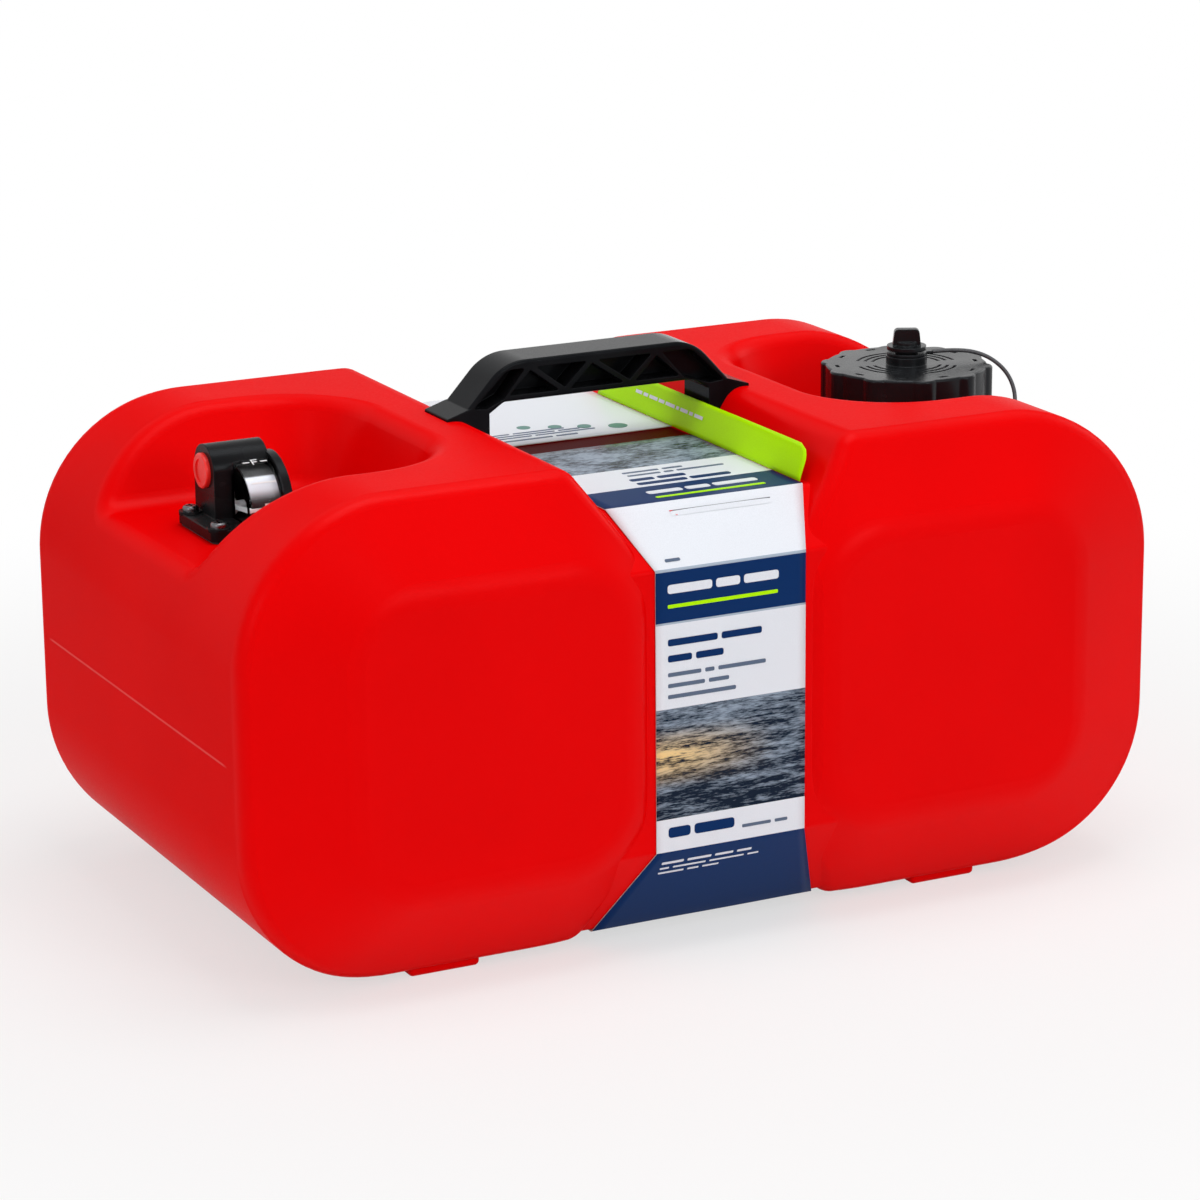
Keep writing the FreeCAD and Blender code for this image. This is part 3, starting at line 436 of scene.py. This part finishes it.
finishes = {
    "tankRed": ["tank_shell"],
    "capBlack": ["filler_cap", "vent_knob", "tether_cap_ring", "tether_neck_ring"],
    "handleBlack": ["carry_handle"],
    "housingBlack": ["gauge_housing"],
    "dialBlack": ["dial_scale"],
    "sealRubber": ["cap_gasket", "vent_seal", "gauge_gasket", "outlet_seal"],
    "floatFoam": ["gauge_float"],
    "plugRed": ["outlet_plug"],
    "needleWhite": ["gauge_needle"],
    "tubePale": ["pickup_tube", "pickup_filter"],
    "steel": ["needle_axle", "push_rod", "float_bracket", "float_pivot_pin", "float_arm", "float_clips"],
    "screwSteel": ["flange_screws"],
    "brass": ["threaded_inserts"],
    "lensClear": ["gauge_lens"],
}


def finishNodes():
    for name, owners in finishes.items():
        for owner in owners:
            slots = nodes[owner].material_slots
            if not slots:
                nodes[owner].data.materials.append(None)
            for slot in nodes[owner].material_slots:
                slot.material = materials[name]


finishNodes()
print("materials on the CAD nodes")


def newPiece(name, mesh, body, slot, *replaced):
    piece = bpy.data.objects.new(name, mesh)
    scene.collection.objects.link(piece)
    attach(piece, body)
    if replaced:
        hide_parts(*replaced)
    return piece


# Cardboard wrap. Its line runs round the waist: from the window in the top, down the front,
# under the tank and up the back
wrap = {
    "halfDepth": 0.1509,
    "top": 0.2209,
    "bottom": 0.0071,
    "topHalfDepth": 0.1244,
    "bottomHalfDepth": 0.1214,
    "shoulder": 0.1949,
    "sill": 0.0527,
    "windowFront": -0.008,
    "windowBack": 0.0126,
    "frontHalf": 0.041,
    "topHalf": 0.054,
    "bottomHalf": 0.062,
    "thickness": 0.0006,
    "foldRadius": 0.0016,
    "foldSteps": 4,
    "foldAngle": 0.1,
    "spacing": 0.006,
    "ripple": 0.00022,
    "columns": 18,
}

wrapColours = {
    "white": (0.84, 0.87, 0.93),
    "navy": (0.0012, 0.027, 0.125),
    "grey": (0.42, 0.50, 0.60),
    "green": (0.50, 0.98, 0.0),
    "core": (0.60, 0.56, 0.50),
    "slate": (0.12, 0.16, 0.24),
    "leaf": (0.10, 0.26, 0.22),
    "slitShadow": (0.22, 0.23, 0.25),
    "sea": (0.008, 0.016, 0.034),
    "foam": (0.30, 0.37, 0.46),
    "glow": (0.95, 0.66, 0.28),
}


# Shared effect: the faint fibre and print speckle of coated board
def makeBoardFibre():
    group, given, result = newGroup("boardFibre", [("Amount", "NodeSocketFloat", 1.0)],
                                    [("Height", "NodeSocketFloat"), ("Speckle", "NodeSocketFloat")])
    place = objectPlace(group)
    fibre = noiseNode(group, place, 520.0, 3.0, 0.6, (1, 1, 0.4))
    speckle = noiseNode(group, place, 2600.0, 2.0)
    group.links.new(mathNode(group, "MULTIPLY", fibre, given.outputs["Amount"]), result.inputs["Height"])
    group.links.new(speckle, result.inputs["Speckle"])
    return group


boardFibre = makeBoardFibre()
boardRoughness = (0.28, 0.37)


def makeBoard(name, colour):
    material, tree, shader = newMaterial(name)
    board = useGroup(tree, boardFibre, Amount=1.0)
    darker = tuple(c * 0.93 for c in colour)
    tree.links.new(mixColour(tree, mapRange(tree, board.outputs["Speckle"], 0.35, 0.65), colour, darker),
                   shader.inputs["Base Color"])
    rough = mapRange(tree, board.outputs["Speckle"], 0.3, 0.7, *boardRoughness)
    tree.links.new(rough, shader.inputs["Roughness"])
    shader.inputs["Specular IOR Level"].default_value = 0.07
    addBump(tree, shader, board.outputs["Height"], 0.00006, 0.5)
    return material


# An abstract print of fine level streaks in the colours of open water, with a warm band across it
waterPrint = {
    "foot": 0.066,
    "top": 0.128,
    "bandHeight": 0.101,
    "bandReach": 0.017,
    "bandSides": (0.030, -0.044),
    "crest": (0.50, 0.68),
    "bandCrest": (0.40, 0.56),
    "gloss": 0.05,
    "roughness": 0.26,
}


def makeWaterPrint(spec, colours):
    material, tree, shader = newMaterial("waterPrint")
    place = objectPlace(tree)
    apart = tree.nodes.new("ShaderNodeSeparateXYZ")
    tree.links.new(place, apart.inputs[0])
    fine = noiseNode(tree, place, 1300.0, 4.0, 0.65, (0.16, 0.30, 1.0))
    broad = noiseNode(tree, place, 330.0, 3.0, 0.55, (0.14, 0.25, 1.0))
    height = mapRange(tree, apart.outputs["Z"], spec["foot"], spec["top"])
    streak = mathNode(tree, "ADD", multiply(tree, fine, 0.5), multiply(tree, broad, 0.5))
    lit = mathNode(tree, "ADD", streak, multiply(tree, height, 0.10))
    water = mixColour(tree, mapRange(tree, lit, *spec["crest"]), colours["sea"], colours["foam"])
    # The warm band fades in from one side
    above = absolute(tree, mathNode(tree, "SUBTRACT", apart.outputs["Z"], spec["bandHeight"]))
    level = mapRange(tree, above, spec["bandReach"], 0.0, smooth=True)
    aside = mapRange(tree, apart.outputs["X"], *spec["bandSides"], smooth=True)
    glow = multiply(tree, level, aside, mapRange(tree, streak, *spec["bandCrest"]))
    tree.links.new(mixColour(tree, glow, water, colours["glow"]), shader.inputs["Base Color"])
    shader.inputs["Specular IOR Level"].default_value = spec["gloss"]
    shader.inputs["Roughness"].default_value = spec["roughness"]
    board = useGroup(tree, boardFibre, Amount=1.0)
    addBump(tree, shader, board.outputs["Height"], 0.00005, 0.5)
    return material


boards = {name: makeBoard("board" + name.capitalize(), wrapColours[name])
          for name in ("white", "navy", "grey", "green", "core", "slate", "leaf", "slitShadow")}
boards["water"] = makeWaterPrint(waterPrint, wrapColours)


def wrapLine(spec):
    # Fold points of the wrap in (y, z), and the print up to each, front half first.
    deep, top, low = spec["halfDepth"], spec["top"], spec["bottom"]
    front = [
        ("water", spec["windowFront"], top), ("white", -0.058, top), ("navy", -0.094, top),
        ("white", -spec["topHalfDepth"], top), ("grey", -deep, spec["shoulder"] - 0.0002),
        ("navy", -deep, spec["shoulder"] - 0.0012), ("grey", -deep, 0.1686),
        ("white", -deep, 0.1676), ("water", -deep, 0.1255), ("white", -deep, 0.0698),
        ("navy", -deep, spec["sill"]), ("navy", -spec["bottomHalfDepth"], low),
    ]
    back = [
        ("navy", spec["bottomHalfDepth"], low), ("white", deep, spec["sill"]), ("water", deep, 0.0698),
        ("white", deep, 0.1255), ("grey", deep, 0.1676), ("navy", deep, 0.1686),
        ("grey", deep, spec["shoulder"] - 0.0012), ("white", deep, spec["shoulder"] - 0.0002),
        ("white", spec["topHalfDepth"], top), ("white", spec["windowBack"], top),
    ]
    return front + back


def wrapHalfWidth(spec, z):
    if z <= spec["bottom"]:
        return spec["bottomHalf"]
    if z < spec["sill"]:
        t = (z - spec["bottom"]) / (spec["sill"] - spec["bottom"])
        return spec["bottomHalf"] + (spec["frontHalf"] - spec["bottomHalf"]) * t
    if z < spec["shoulder"]:
        return spec["frontHalf"]
    t = min((z - spec["shoulder"]) / (spec["top"] - spec["shoulder"]), 1)
    return spec["frontHalf"] + (spec["topHalf"] - spec["frontHalf"]) * t


def roundedStations(spec):
    # Stations along the wrap's line, with a small arc at each real fold.
    line = wrapLine(spec)
    stations = []
    for i, (stuff, y, z) in enumerate(line):
        here = Vector((y, z))
        last = Vector(line[i - 1][1:]) if i else None
        following = Vector(line[i + 1][1:]) if i + 1 < len(line) else None
        fold = False
        if last is not None and following is not None:
            fold = (here - last).angle(following - here) > spec["foldAngle"]
        if fold:
            into, out = (here - last).normalized(), (following - here).normalized()
            half = into.angle(out) / 2
            reach = spec["foldRadius"] * math.tan(half)
            first, final = here - into * reach, here + out * reach
            for k in range(spec["foldSteps"] + 1):
                t = k / spec["foldSteps"]
                point = first * (1 - t) ** 2 + here * 2 * t * (1 - t) + final * t ** 2
                stations.append((stuff, point))
        else:
            stations.append((stuff, here))
        if following is not None:
            count = max(int((following - here).length / spec["spacing"]), 1)
            for k in range(1, count):
                point = here.lerp(following, k / count)
                if not fold or (point - here).length > spec["foldRadius"]:
                    stations.append((stuff, point))
    return stations


def makeWrap(spec):
    stations = roundedStations(spec)
    names = sorted(set(stuff for stuff, _ in stations))
    mesh = bpy.data.meshes.new("wrap")
    for name in names + ["core"]:
        mesh.materials.append(boards[name])
    build = bmesh.new()
    rows = []
    columns = spec["columns"]
    for i, (stuff, point) in enumerate(stations):
        before = stations[max(i - 1, 0)][1]
        after = stations[min(i + 1, len(stations) - 1)][1]
        along = (after - before).normalized()
        inward = Vector((along.y, -along.x))
        if inward.dot(Vector((0, 0.12)) - point) < 0:
            inward = -inward
        outerRow, innerRow = [], []
        half = wrapHalfWidth(spec, point.y)
        for c in range(columns + 1):
            x = -half + 2 * half * c / columns
            sample = Vector((x * 22, point.x * 14, point.y * 14))
            dent = spec["ripple"] * (0.5 + 0.5 * noise.noise(sample))
            outer = point + inward * dent
            inner = outer + inward * spec["thickness"] * 0.75
            outerRow.append(build.verts.new((x, outer.x, outer.y)))
            innerRow.append(build.verts.new((x, inner.x, inner.y)))
        rows.append((stuff, outerRow, innerRow))
    for (stuff, outer, inner), (_, outerNext, innerNext) in zip(rows, rows[1:]):
        for c in range(columns):
            face = build.faces.new((outer[c], outer[c + 1], outerNext[c + 1], outerNext[c]))
            face.material_index = names.index(stuff)
            face = build.faces.new((inner[c + 1], inner[c], innerNext[c], innerNext[c + 1]))
            face.material_index = len(names)
        for c in (0, columns):
            face = build.faces.new((outer[c], outerNext[c], innerNext[c], inner[c]))
            face.material_index = len(names)
    for _, outer, inner in (rows[0], rows[-1]):
        for c in range(columns):
            face = build.faces.new((outer[c], inner[c], inner[c + 1], outer[c + 1]))
            face.material_index = len(names)
    bmesh.ops.recalc_face_normals(build, faces=build.faces)
    for face in build.faces:
        face.smooth = True
    build.to_mesh(mesh)
    build.free()
    newPiece("label_wrap", mesh, "tank", "cardboard", "label_sleeve")


makeWrap(wrap)


# Plain printed dashes on the wrap, where such a wrap has its print. Each row is
# (face, colour, left edge, height on the face, thickness, lengths), with gaps between the lengths
dashes = {
    "lift": 0.00007,
    "sink": 0.0004,
    "gap": 0.0022,
    "faces": {
        "front": ((-0.1509, 0.0), (0.0, 1.0)),
        "low": ((-0.1509, 0.0527), (-0.543, 0.840)),
        "chamfer": ((-0.1509, 0.1949), (0.714, 0.700)),
        "top": ((-0.1244, 0.2209), (1.0, 0.0)),
    },
    "rows": [
        ("front", "white", -0.0345, 0.1850, 0.0044, (0.024, 0.013, 0.019)),
        ("front", "green", -0.0345, 0.1765, 0.0018, (0.060,)),
        ("front", "navy", -0.0345, 0.1585, 0.0034, (0.027, 0.022)),
        ("front", "navy", -0.0345, 0.1505, 0.0034, (0.013, 0.015)),
        ("front", "slate", -0.0345, 0.1425, 0.0020, (0.018, 0.005, 0.026)),
        ("front", "slate", -0.0345, 0.1370, 0.0020, (0.020, 0.011)),
        ("front", "slate", -0.0345, 0.1315, 0.0020, (0.037,)),
        ("front", "navy", -0.0345, 0.0628, 0.0052, (0.012, 0.022)),
        ("front", "slate", 0.0060, 0.0600, 0.0016, (0.016, 0.007)),
        ("low", "white", -0.0360, -0.0080, 0.0016, (0.012, 0.013, 0.010, 0.008)),
        ("low", "white", -0.0360, -0.0120, 0.0011, (0.005, 0.018, 0.019, 0.006)),
        ("low", "white", -0.0360, -0.0155, 0.0011, (0.014, 0.006, 0.009)),
        ("top", "white", -0.0220, 0.0185, 0.0052, (0.019, 0.013, 0.024)),
        ("top", "green", -0.0220, 0.0090, 0.0026, (0.060,)),
        ("top", "navy", -0.0180, 0.0360, 0.0042, (0.027, 0.022)),
        ("top", "navy", -0.0180, 0.0440, 0.0042, (0.013, 0.015)),
        ("top", "slate", -0.0150, 0.0525, 0.0022, (0.018, 0.005, 0.026)),
        ("top", "slate", -0.0150, 0.0585, 0.0022, (0.020, 0.011)),
        ("top", "slate", -0.0400, 0.1460, 0.0020, (0.030, 0.012)),
        ("top", "slate", -0.0400, 0.1520, 0.0016, (0.021, 0.034)),
        ("top", "slate", -0.0400, 0.1560, 0.0016, (0.036, 0.012)),
        ("top", "slate", -0.0400, 0.1600, 0.0016, (0.012, 0.029)),
        ("chamfer", "slate", -0.0340, 0.0050, 0.0016, (0.008,)),
    ],
    # Plain round marks: (face, colour, across, height on the face, radius)
    "dots": [
        ("top", "leaf", -0.0150, 0.1700, 0.0036), ("top", "leaf", 0.0000, 0.1640, 0.0036),
        ("top", "leaf", 0.0140, 0.1580, 0.0036), ("top", "leaf", 0.0300, 0.1510, 0.0050),
    ],
}


def facePoint(spec, face, x, up, out):
    (y0, z0), (dy, dz) = spec["faces"][face]
    ny, nz = -dz, dy
    return (x, y0 + dy * up + ny * out, z0 + dz * up + nz * out)


def addPrism(build, spec, face, outline, slot, lift):
    rear = [build.verts.new(facePoint(spec, face, x, up, -spec["sink"])) for x, up in outline]
    front = [build.verts.new(facePoint(spec, face, x, up, lift)) for x, up in outline]
    count = len(outline)
    sides = [(rear[k], rear[(k + 1) % count], front[(k + 1) % count], front[k]) for k in range(count)]
    for corners in [tuple(front)] + sides:
        build.faces.new(corners).material_index = slot


def makeDashes(spec):
    names = ["white", "navy", "slate", "green", "leaf"]
    mesh = bpy.data.meshes.new("print_dashes")
    for name in names:
        mesh.materials.append(boards[name])
    build = bmesh.new()
    for face, colour, left, up, thick, lengths in spec["rows"]:
        for length in lengths:
            r = thick * 0.3
            outline = []
            for cx, cy, start in ((length - r, thick / 2 - r, 0), (r, thick / 2 - r, 90),
                                  (r, r - thick / 2, 180), (length - r, r - thick / 2, 270)):
                for k in range(4):
                    a = math.radians(start + 30 * k)
                    outline.append((left + cx + r * math.cos(a), up + cy + r * math.sin(a)))
            addPrism(build, spec, face, outline, names.index(colour), spec["lift"])
            left += length + spec["gap"]
    for order, (face, colour, x, up, radius) in enumerate(spec["dots"]):
        outline = [(x + radius * math.cos(math.tau * k / 28), up + radius * math.sin(math.tau * k / 28))
                   for k in range(28)]
        addPrism(build, spec, face, outline, names.index(colour), spec["lift"] + 0.00004 * (order % 3))
    bmesh.ops.recalc_face_normals(build, faces=build.faces)
    build.to_mesh(mesh)
    build.free()
    newPiece("print_dashes", mesh, "tank", "cardboard")


makeDashes(dashes)


# Tuck slit near the upper fold: a strip of painted shadow along the cut, with the edge of the tucked tab
# standing a little proud
slit = {
    "x0": -0.0215,
    "x1": 0.0335,
    "up": 0.0312,
    "rise": 0.0007,
    "width": 0.0026,
    "gapWidth": 0.0007,
    "openEnd": 0.0050,
    "steps": 24,
}


def makeSlit(spec):
    mesh = bpy.data.meshes.new("tuck_slit")
    for name in ("white", "slitShadow"):
        mesh.materials.append(boards[name])
    mesh.materials.append(materials["tankRed"])
    build = bmesh.new()
    rows = []
    for k in range(spec["steps"] + 1):
        t = k / spec["steps"]
        x = spec["x0"] + (spec["x1"] - spec["x0"]) * t
        lift = spec["rise"] * math.sin(math.pi * t) ** 0.6
        low = build.verts.new(facePoint(dashes, "chamfer", x, spec["up"] - spec["width"], 0.00002))
        lip = build.verts.new(facePoint(dashes, "chamfer", x, spec["up"], lift + 0.00008))
        under = build.verts.new(facePoint(dashes, "chamfer", x, spec["up"] + spec["gapWidth"], 0.00004))
        rows.append((low, lip, under))
    for a, b in zip(rows, rows[1:]):
        build.faces.new((a[0], b[0], b[1], a[1]))
        # Painted shadow: this dark strip beside the lip stands for the shadow inside the cut
        build.faces.new((a[1], b[1], b[2], a[2])).material_index = 1
    # At one end the tab stands open over the red waist
    left, up, end = spec["x0"], spec["up"], spec["openEnd"]
    corner = [(left - 0.0005, up + 0.0006), (left + end, up + 0.0004),
              (left + end * 0.6, up - spec["width"])]
    face = build.faces.new([build.verts.new(facePoint(dashes, "chamfer", *at, 0.0001)) for at in corner])
    face.material_index = 2
    build.to_mesh(mesh)
    build.free()
    newPiece("tuck_slit", mesh, "tank", "cardboard")


makeSlit(slit)
print("cardboard wrap made")


# Green flap that stands up from the wrap along the right lobe
flap = {
    "foldX": 0.0536,
    "foldZ": 0.2211,
    "height": 0.018,
    "lean": 0.0055,
    "front": -0.122,
    "back": 0.096,
    "corner": 0.009,
    "thickness": 0.0005,
    "wave": 0.0005,
    "columns": 60,
    "rows": 8,
    "dashStart": -0.018,
    "dashBand": (0.52, 0.62),
    "dashGap": 0.0016,
    "dashLengths": (0.009, 0.004, 0.008, 0.003, 0.010, 0.006, 0.009, 0.005, 0.007),
}


def flapPoint(spec, y, up, aside):
    # A point on the leaning flap, at a share of its height.
    x = spec["foldX"] + spec["lean"] * up ** 1.15 + aside
    return (x, y, spec["foldZ"] + spec["height"] * 0.94 * up)


def makeFlap(spec):
    mesh = bpy.data.meshes.new("flap")
    mesh.materials.append(boards["green"])
    build = bmesh.new()
    grid = []
    for r in range(spec["rows"] + 1):
        up = r / spec["rows"]
        inset = 0.0
        if up > 0.5:
            t = (up - 0.5) / 0.5
            inset = spec["corner"] * (1 - math.sqrt(max(1 - t * t, 0)))
        row = []
        for c in range(spec["columns"] + 1):
            s = c / spec["columns"]
            y = (spec["front"] + inset) * (1 - s) + (spec["back"] - inset) * s
            wave = spec["wave"] * math.sin(5.0 * s + 1.0) * up
            row.append(build.verts.new(flapPoint(spec, y, up, wave)))
        grid.append(row)
    for low, high in zip(grid, grid[1:]):
        for c in range(spec["columns"]):
            build.faces.new((low[c], low[c + 1], high[c + 1], high[c])).smooth = True
    build.to_mesh(mesh)
    build.free()
    piece = newPiece("green_flap", mesh, "tank", "cardboard_green", "sleeve_flap")
    solid = piece.modifiers.new("board", "SOLIDIFY")
    solid.thickness = spec["thickness"]
    solid.offset = 0


makeFlap(flap)


def makeFlapDashes(spec):
    # A row of small white dashes along the flap, near its upper edge.
    mesh = bpy.data.meshes.new("flap_dashes")
    mesh.materials.append(boards["white"])
    build = bmesh.new()
    y = spec["dashStart"]
    low, high = spec["dashBand"]
    for length in spec["dashLengths"]:
        outline = ((y, low), (y + length, low), (y + length, high), (y, high))
        corners = [build.verts.new(flapPoint(spec, yy, up, -1.5 * spec["thickness"])) for yy, up in outline]
        build.faces.new(corners)
        y += length + spec["dashGap"]
    build.to_mesh(mesh)
    build.free()
    newPiece("flap_dashes", mesh, "tank", "cardboard_green")


makeFlapDashes(flap)
print("green flap made")


# White marks on the lens: a line at each level, with F at the top and E at the bottom
marks = {
    "pivot": (0.002, 0.2111),
    "radius": 0.02404,
    "x0": -0.1912,
    "x1": -0.1785,
    "lift": 0.00012,
    "levels": [(72.0, "F"), (39.0, ""), (8.0, "E")],
    "lineDegrees": 1.9,
    "letterDegrees": 11.5,
    "letterWidth": 0.0034,
    "letterGap": 0.0012,
    "strokeWidth": 0.0006,
    "steps": 3,
}


def curvedPatch(build, spec, x0, x1, low, high):
    # A thin curved plate, between two angles above the forward horizontal.
    steps = spec["steps"]
    py, pz = spec["pivot"]
    layers = []
    for radius in (spec["radius"], spec["radius"] + spec["lift"]):
        rows = []
        for k in range(steps + 1):
            angle = math.radians(low + (high - low) * k / steps)
            y, z = py - radius * math.cos(angle), pz + radius * math.sin(angle)
            rows.append([build.verts.new((x, y, z)) for x in (x0, x1)])
        layers.append(rows)
    inner, outer = layers
    for k in range(steps):
        build.faces.new((outer[k][0], outer[k][1], outer[k + 1][1], outer[k + 1][0]))
        build.faces.new((inner[k][1], inner[k][0], inner[k + 1][0], inner[k + 1][1]))
        for side in (0, 1):
            build.faces.new((outer[k][side], outer[k + 1][side], inner[k + 1][side], inner[k][side]))
    for k in (0, steps):
        build.faces.new((outer[k][0], outer[k][1], inner[k][1], inner[k][0]))


def makeMarks(spec):
    mesh = bpy.data.meshes.new("marks")
    mesh.materials.append(materials["markWhite"])
    build = bmesh.new()
    left, right = spec["x0"], spec["x1"]
    middle, half = (left + right) / 2, spec["letterWidth"] / 2
    start, end = middle - half, middle + half
    thin, tall = spec["lineDegrees"], spec["letterDegrees"]
    for level, letter in spec["levels"]:
        low, high = level - thin / 2, level + thin / 2
        foot, head = level - tall / 2, level + tall / 2
        if not letter:
            curvedPatch(build, spec, left, right, low, high)
            continue
        curvedPatch(build, spec, left, start - spec["letterGap"], low, high)
        curvedPatch(build, spec, end + spec["letterGap"], right, low, high)
        curvedPatch(build, spec, start, start + spec["strokeWidth"], foot, head)
        curvedPatch(build, spec, start, end, head - thin, head)
        curvedPatch(build, spec, start, middle + half * 0.6, low, high)
        if letter == "E":
            curvedPatch(build, spec, start, end, foot, foot + thin)
    bmesh.ops.recalc_face_normals(build, faces=build.faces)
    build.to_mesh(mesh)
    build.free()
    newPiece("dial_marks", mesh, "tank", "needle_white")


makeMarks(marks)
print("dial marks made")


# Tether strap from the cap's ring over the rim to the ring round the neck
tether = {
    "route": [
        (0.20066, -0.00340, 0.24750), (0.2135, -0.0068, 0.2482), (0.2275, -0.0125, 0.2452),
        (0.2365, -0.0195, 0.2370), (0.2385, -0.0260, 0.2265), (0.2355, -0.0300, 0.2160),
        (0.2290, -0.0280, 0.2080), (0.22192, -0.02268, 0.20500),
    ],
    "diameter": 0.0022,
    "length": 0.0850,
    "low": 0.206,
    "high": 0.246,
}


def meshOf(holder):
    return bpy.data.meshes.new_from_object(holder.evaluated_get(bpy.context.evaluated_depsgraph_get()))


def makeTether(spec):
    curve = bpy.data.curves.new("tether", "CURVE")
    curve.dimensions = "3D"
    spline = curve.splines.new("NURBS")
    spline.points.add(len(spec["route"]) - 1)
    for point, place in zip(spline.points, spec["route"]):
        point.co = (*place, 1)
    spline.order_u = 3
    spline.use_endpoint_u = True
    spline.resolution_u = 16
    holder = bpy.data.objects.new("tetherLine", curve)
    scene.collection.objects.link(holder)
    line = meshOf(holder)
    bpy.data.meshes.remove(line)
    curve.bevel_depth = spec["diameter"] / 2
    curve.bevel_resolution = 6
    curve.use_fill_caps = True
    bpy.context.view_layer.update()
    mesh = meshOf(holder)
    bpy.data.objects.remove(holder)
    bpy.data.curves.remove(curve)
    mesh.materials.clear()
    mesh.materials.append(materials["tetherGrey"])
    piece = bpy.data.objects.new("tether", mesh)
    scene.collection.objects.link(piece)
    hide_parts("tether_strap")
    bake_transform(piece)


makeTether(tether)
print("tether made")


# Floor, backdrop and soft studio light
studio = {
    "floorSize": 14.0,
    "floorColour": (0.88, 0.88, 0.88),
    "nearWhite": 0.62,
    "shadowReach": (0.34, 0.80),
    "worldStrength": 0.50,
    "lamps": [
        ("topSoftbox", (0.1, -0.2, 1.9), (0, 0, 0.1), (1.2, 0.9), 14.0),
        ("leftSoftbox", (-2.0, -1.2, 0.9), (0, 0, 0.12), (0.8, 0.8), 6.0),
        ("frontSoftbox", (0.6, -2.4, 1.0), (0, 0, 0.12), (0.9, 0.6), 11.0),
        ("rightSoftbox", (2.0, 0.6, 0.9), (0, 0, 0.12), (0.7, 0.7), 3.0),
    ],
}


def seenDirectly(tree):
    # 1 for what the camera, a reflection or a clear piece sees
    path = tree.nodes.new("ShaderNodeLightPath")
    through = mathNode(tree, "MAXIMUM", path.outputs["Is Glossy Ray"], path.outputs["Is Transmission Ray"])
    return mathNode(tree, "MAXIMUM", path.outputs["Is Camera Ray"], through)


def makeFloor(spec):
    mesh = bpy.data.meshes.new("floor")
    half = spec["floorSize"] / 2
    corners = [(-half, -half, 0), (half, -half, 0), (half, half, 0), (-half, half, 0)]
    mesh.from_pydata(corners, [], [(0, 1, 2, 3)])
    material, tree, shader = newMaterial("floorWhite")
    shader.inputs["Base Color"].default_value = (*spec["floorColour"], 1)
    shader.inputs["Roughness"].default_value = 0.9
    shader.inputs["Specular IOR Level"].default_value = 0.0
    # Plain white away from the object, with the shadow kept close to it
    away = tree.nodes.new("ShaderNodeVectorMath")
    away.operation = "LENGTH"
    tree.links.new(objectPlace(tree), away.inputs[0])
    near, far = spec["shadowReach"]
    white = mapRange(tree, away.outputs["Value"], near, far, spec["nearWhite"], 1.0, smooth=True)
    glow = tree.nodes.new("ShaderNodeEmission")
    blend = tree.nodes.new("ShaderNodeMixShader")
    tree.links.new(multiply(tree, white, seenDirectly(tree)), blend.inputs["Fac"])
    tree.links.new(shader.outputs[0], blend.inputs[1])
    tree.links.new(glow.outputs[0], blend.inputs[2])
    tree.links.new(blend.outputs[0], tree.nodes["Material Output"].inputs["Surface"])
    mesh.materials.append(material)
    floor = bpy.data.objects.new("floor", mesh)
    scene.collection.objects.link(floor)


def makeLights(spec):
    for name, place, aim, size, power in spec["lamps"]:
        data = bpy.data.lights.new(name, "AREA")
        data.shape = "RECTANGLE"
        data.size, data.size_y = size
        data.energy = power
        lamp = bpy.data.objects.new(name, data)
        lamp.location = place
        lamp.rotation_euler = (Vector(aim) - Vector(place)).to_track_quat("-Z", "Y").to_euler()
        scene.collection.objects.link(lamp)


def makeWorld(spec):
    world = bpy.data.worlds.new("studio")
    scene.world = world
    world.use_nodes = True
    tree = world.node_tree
    background = tree.nodes["Background"]
    strength = mapRange(tree, seenDirectly(tree), 0.0, 1.0, spec["worldStrength"], 1.0)
    background.inputs["Color"].default_value = (1, 1, 1, 1)
    tree.links.new(strength, background.inputs["Strength"])


makeFloor(studio)
makeLights(studio)
makeWorld(studio)
print("studio ready")
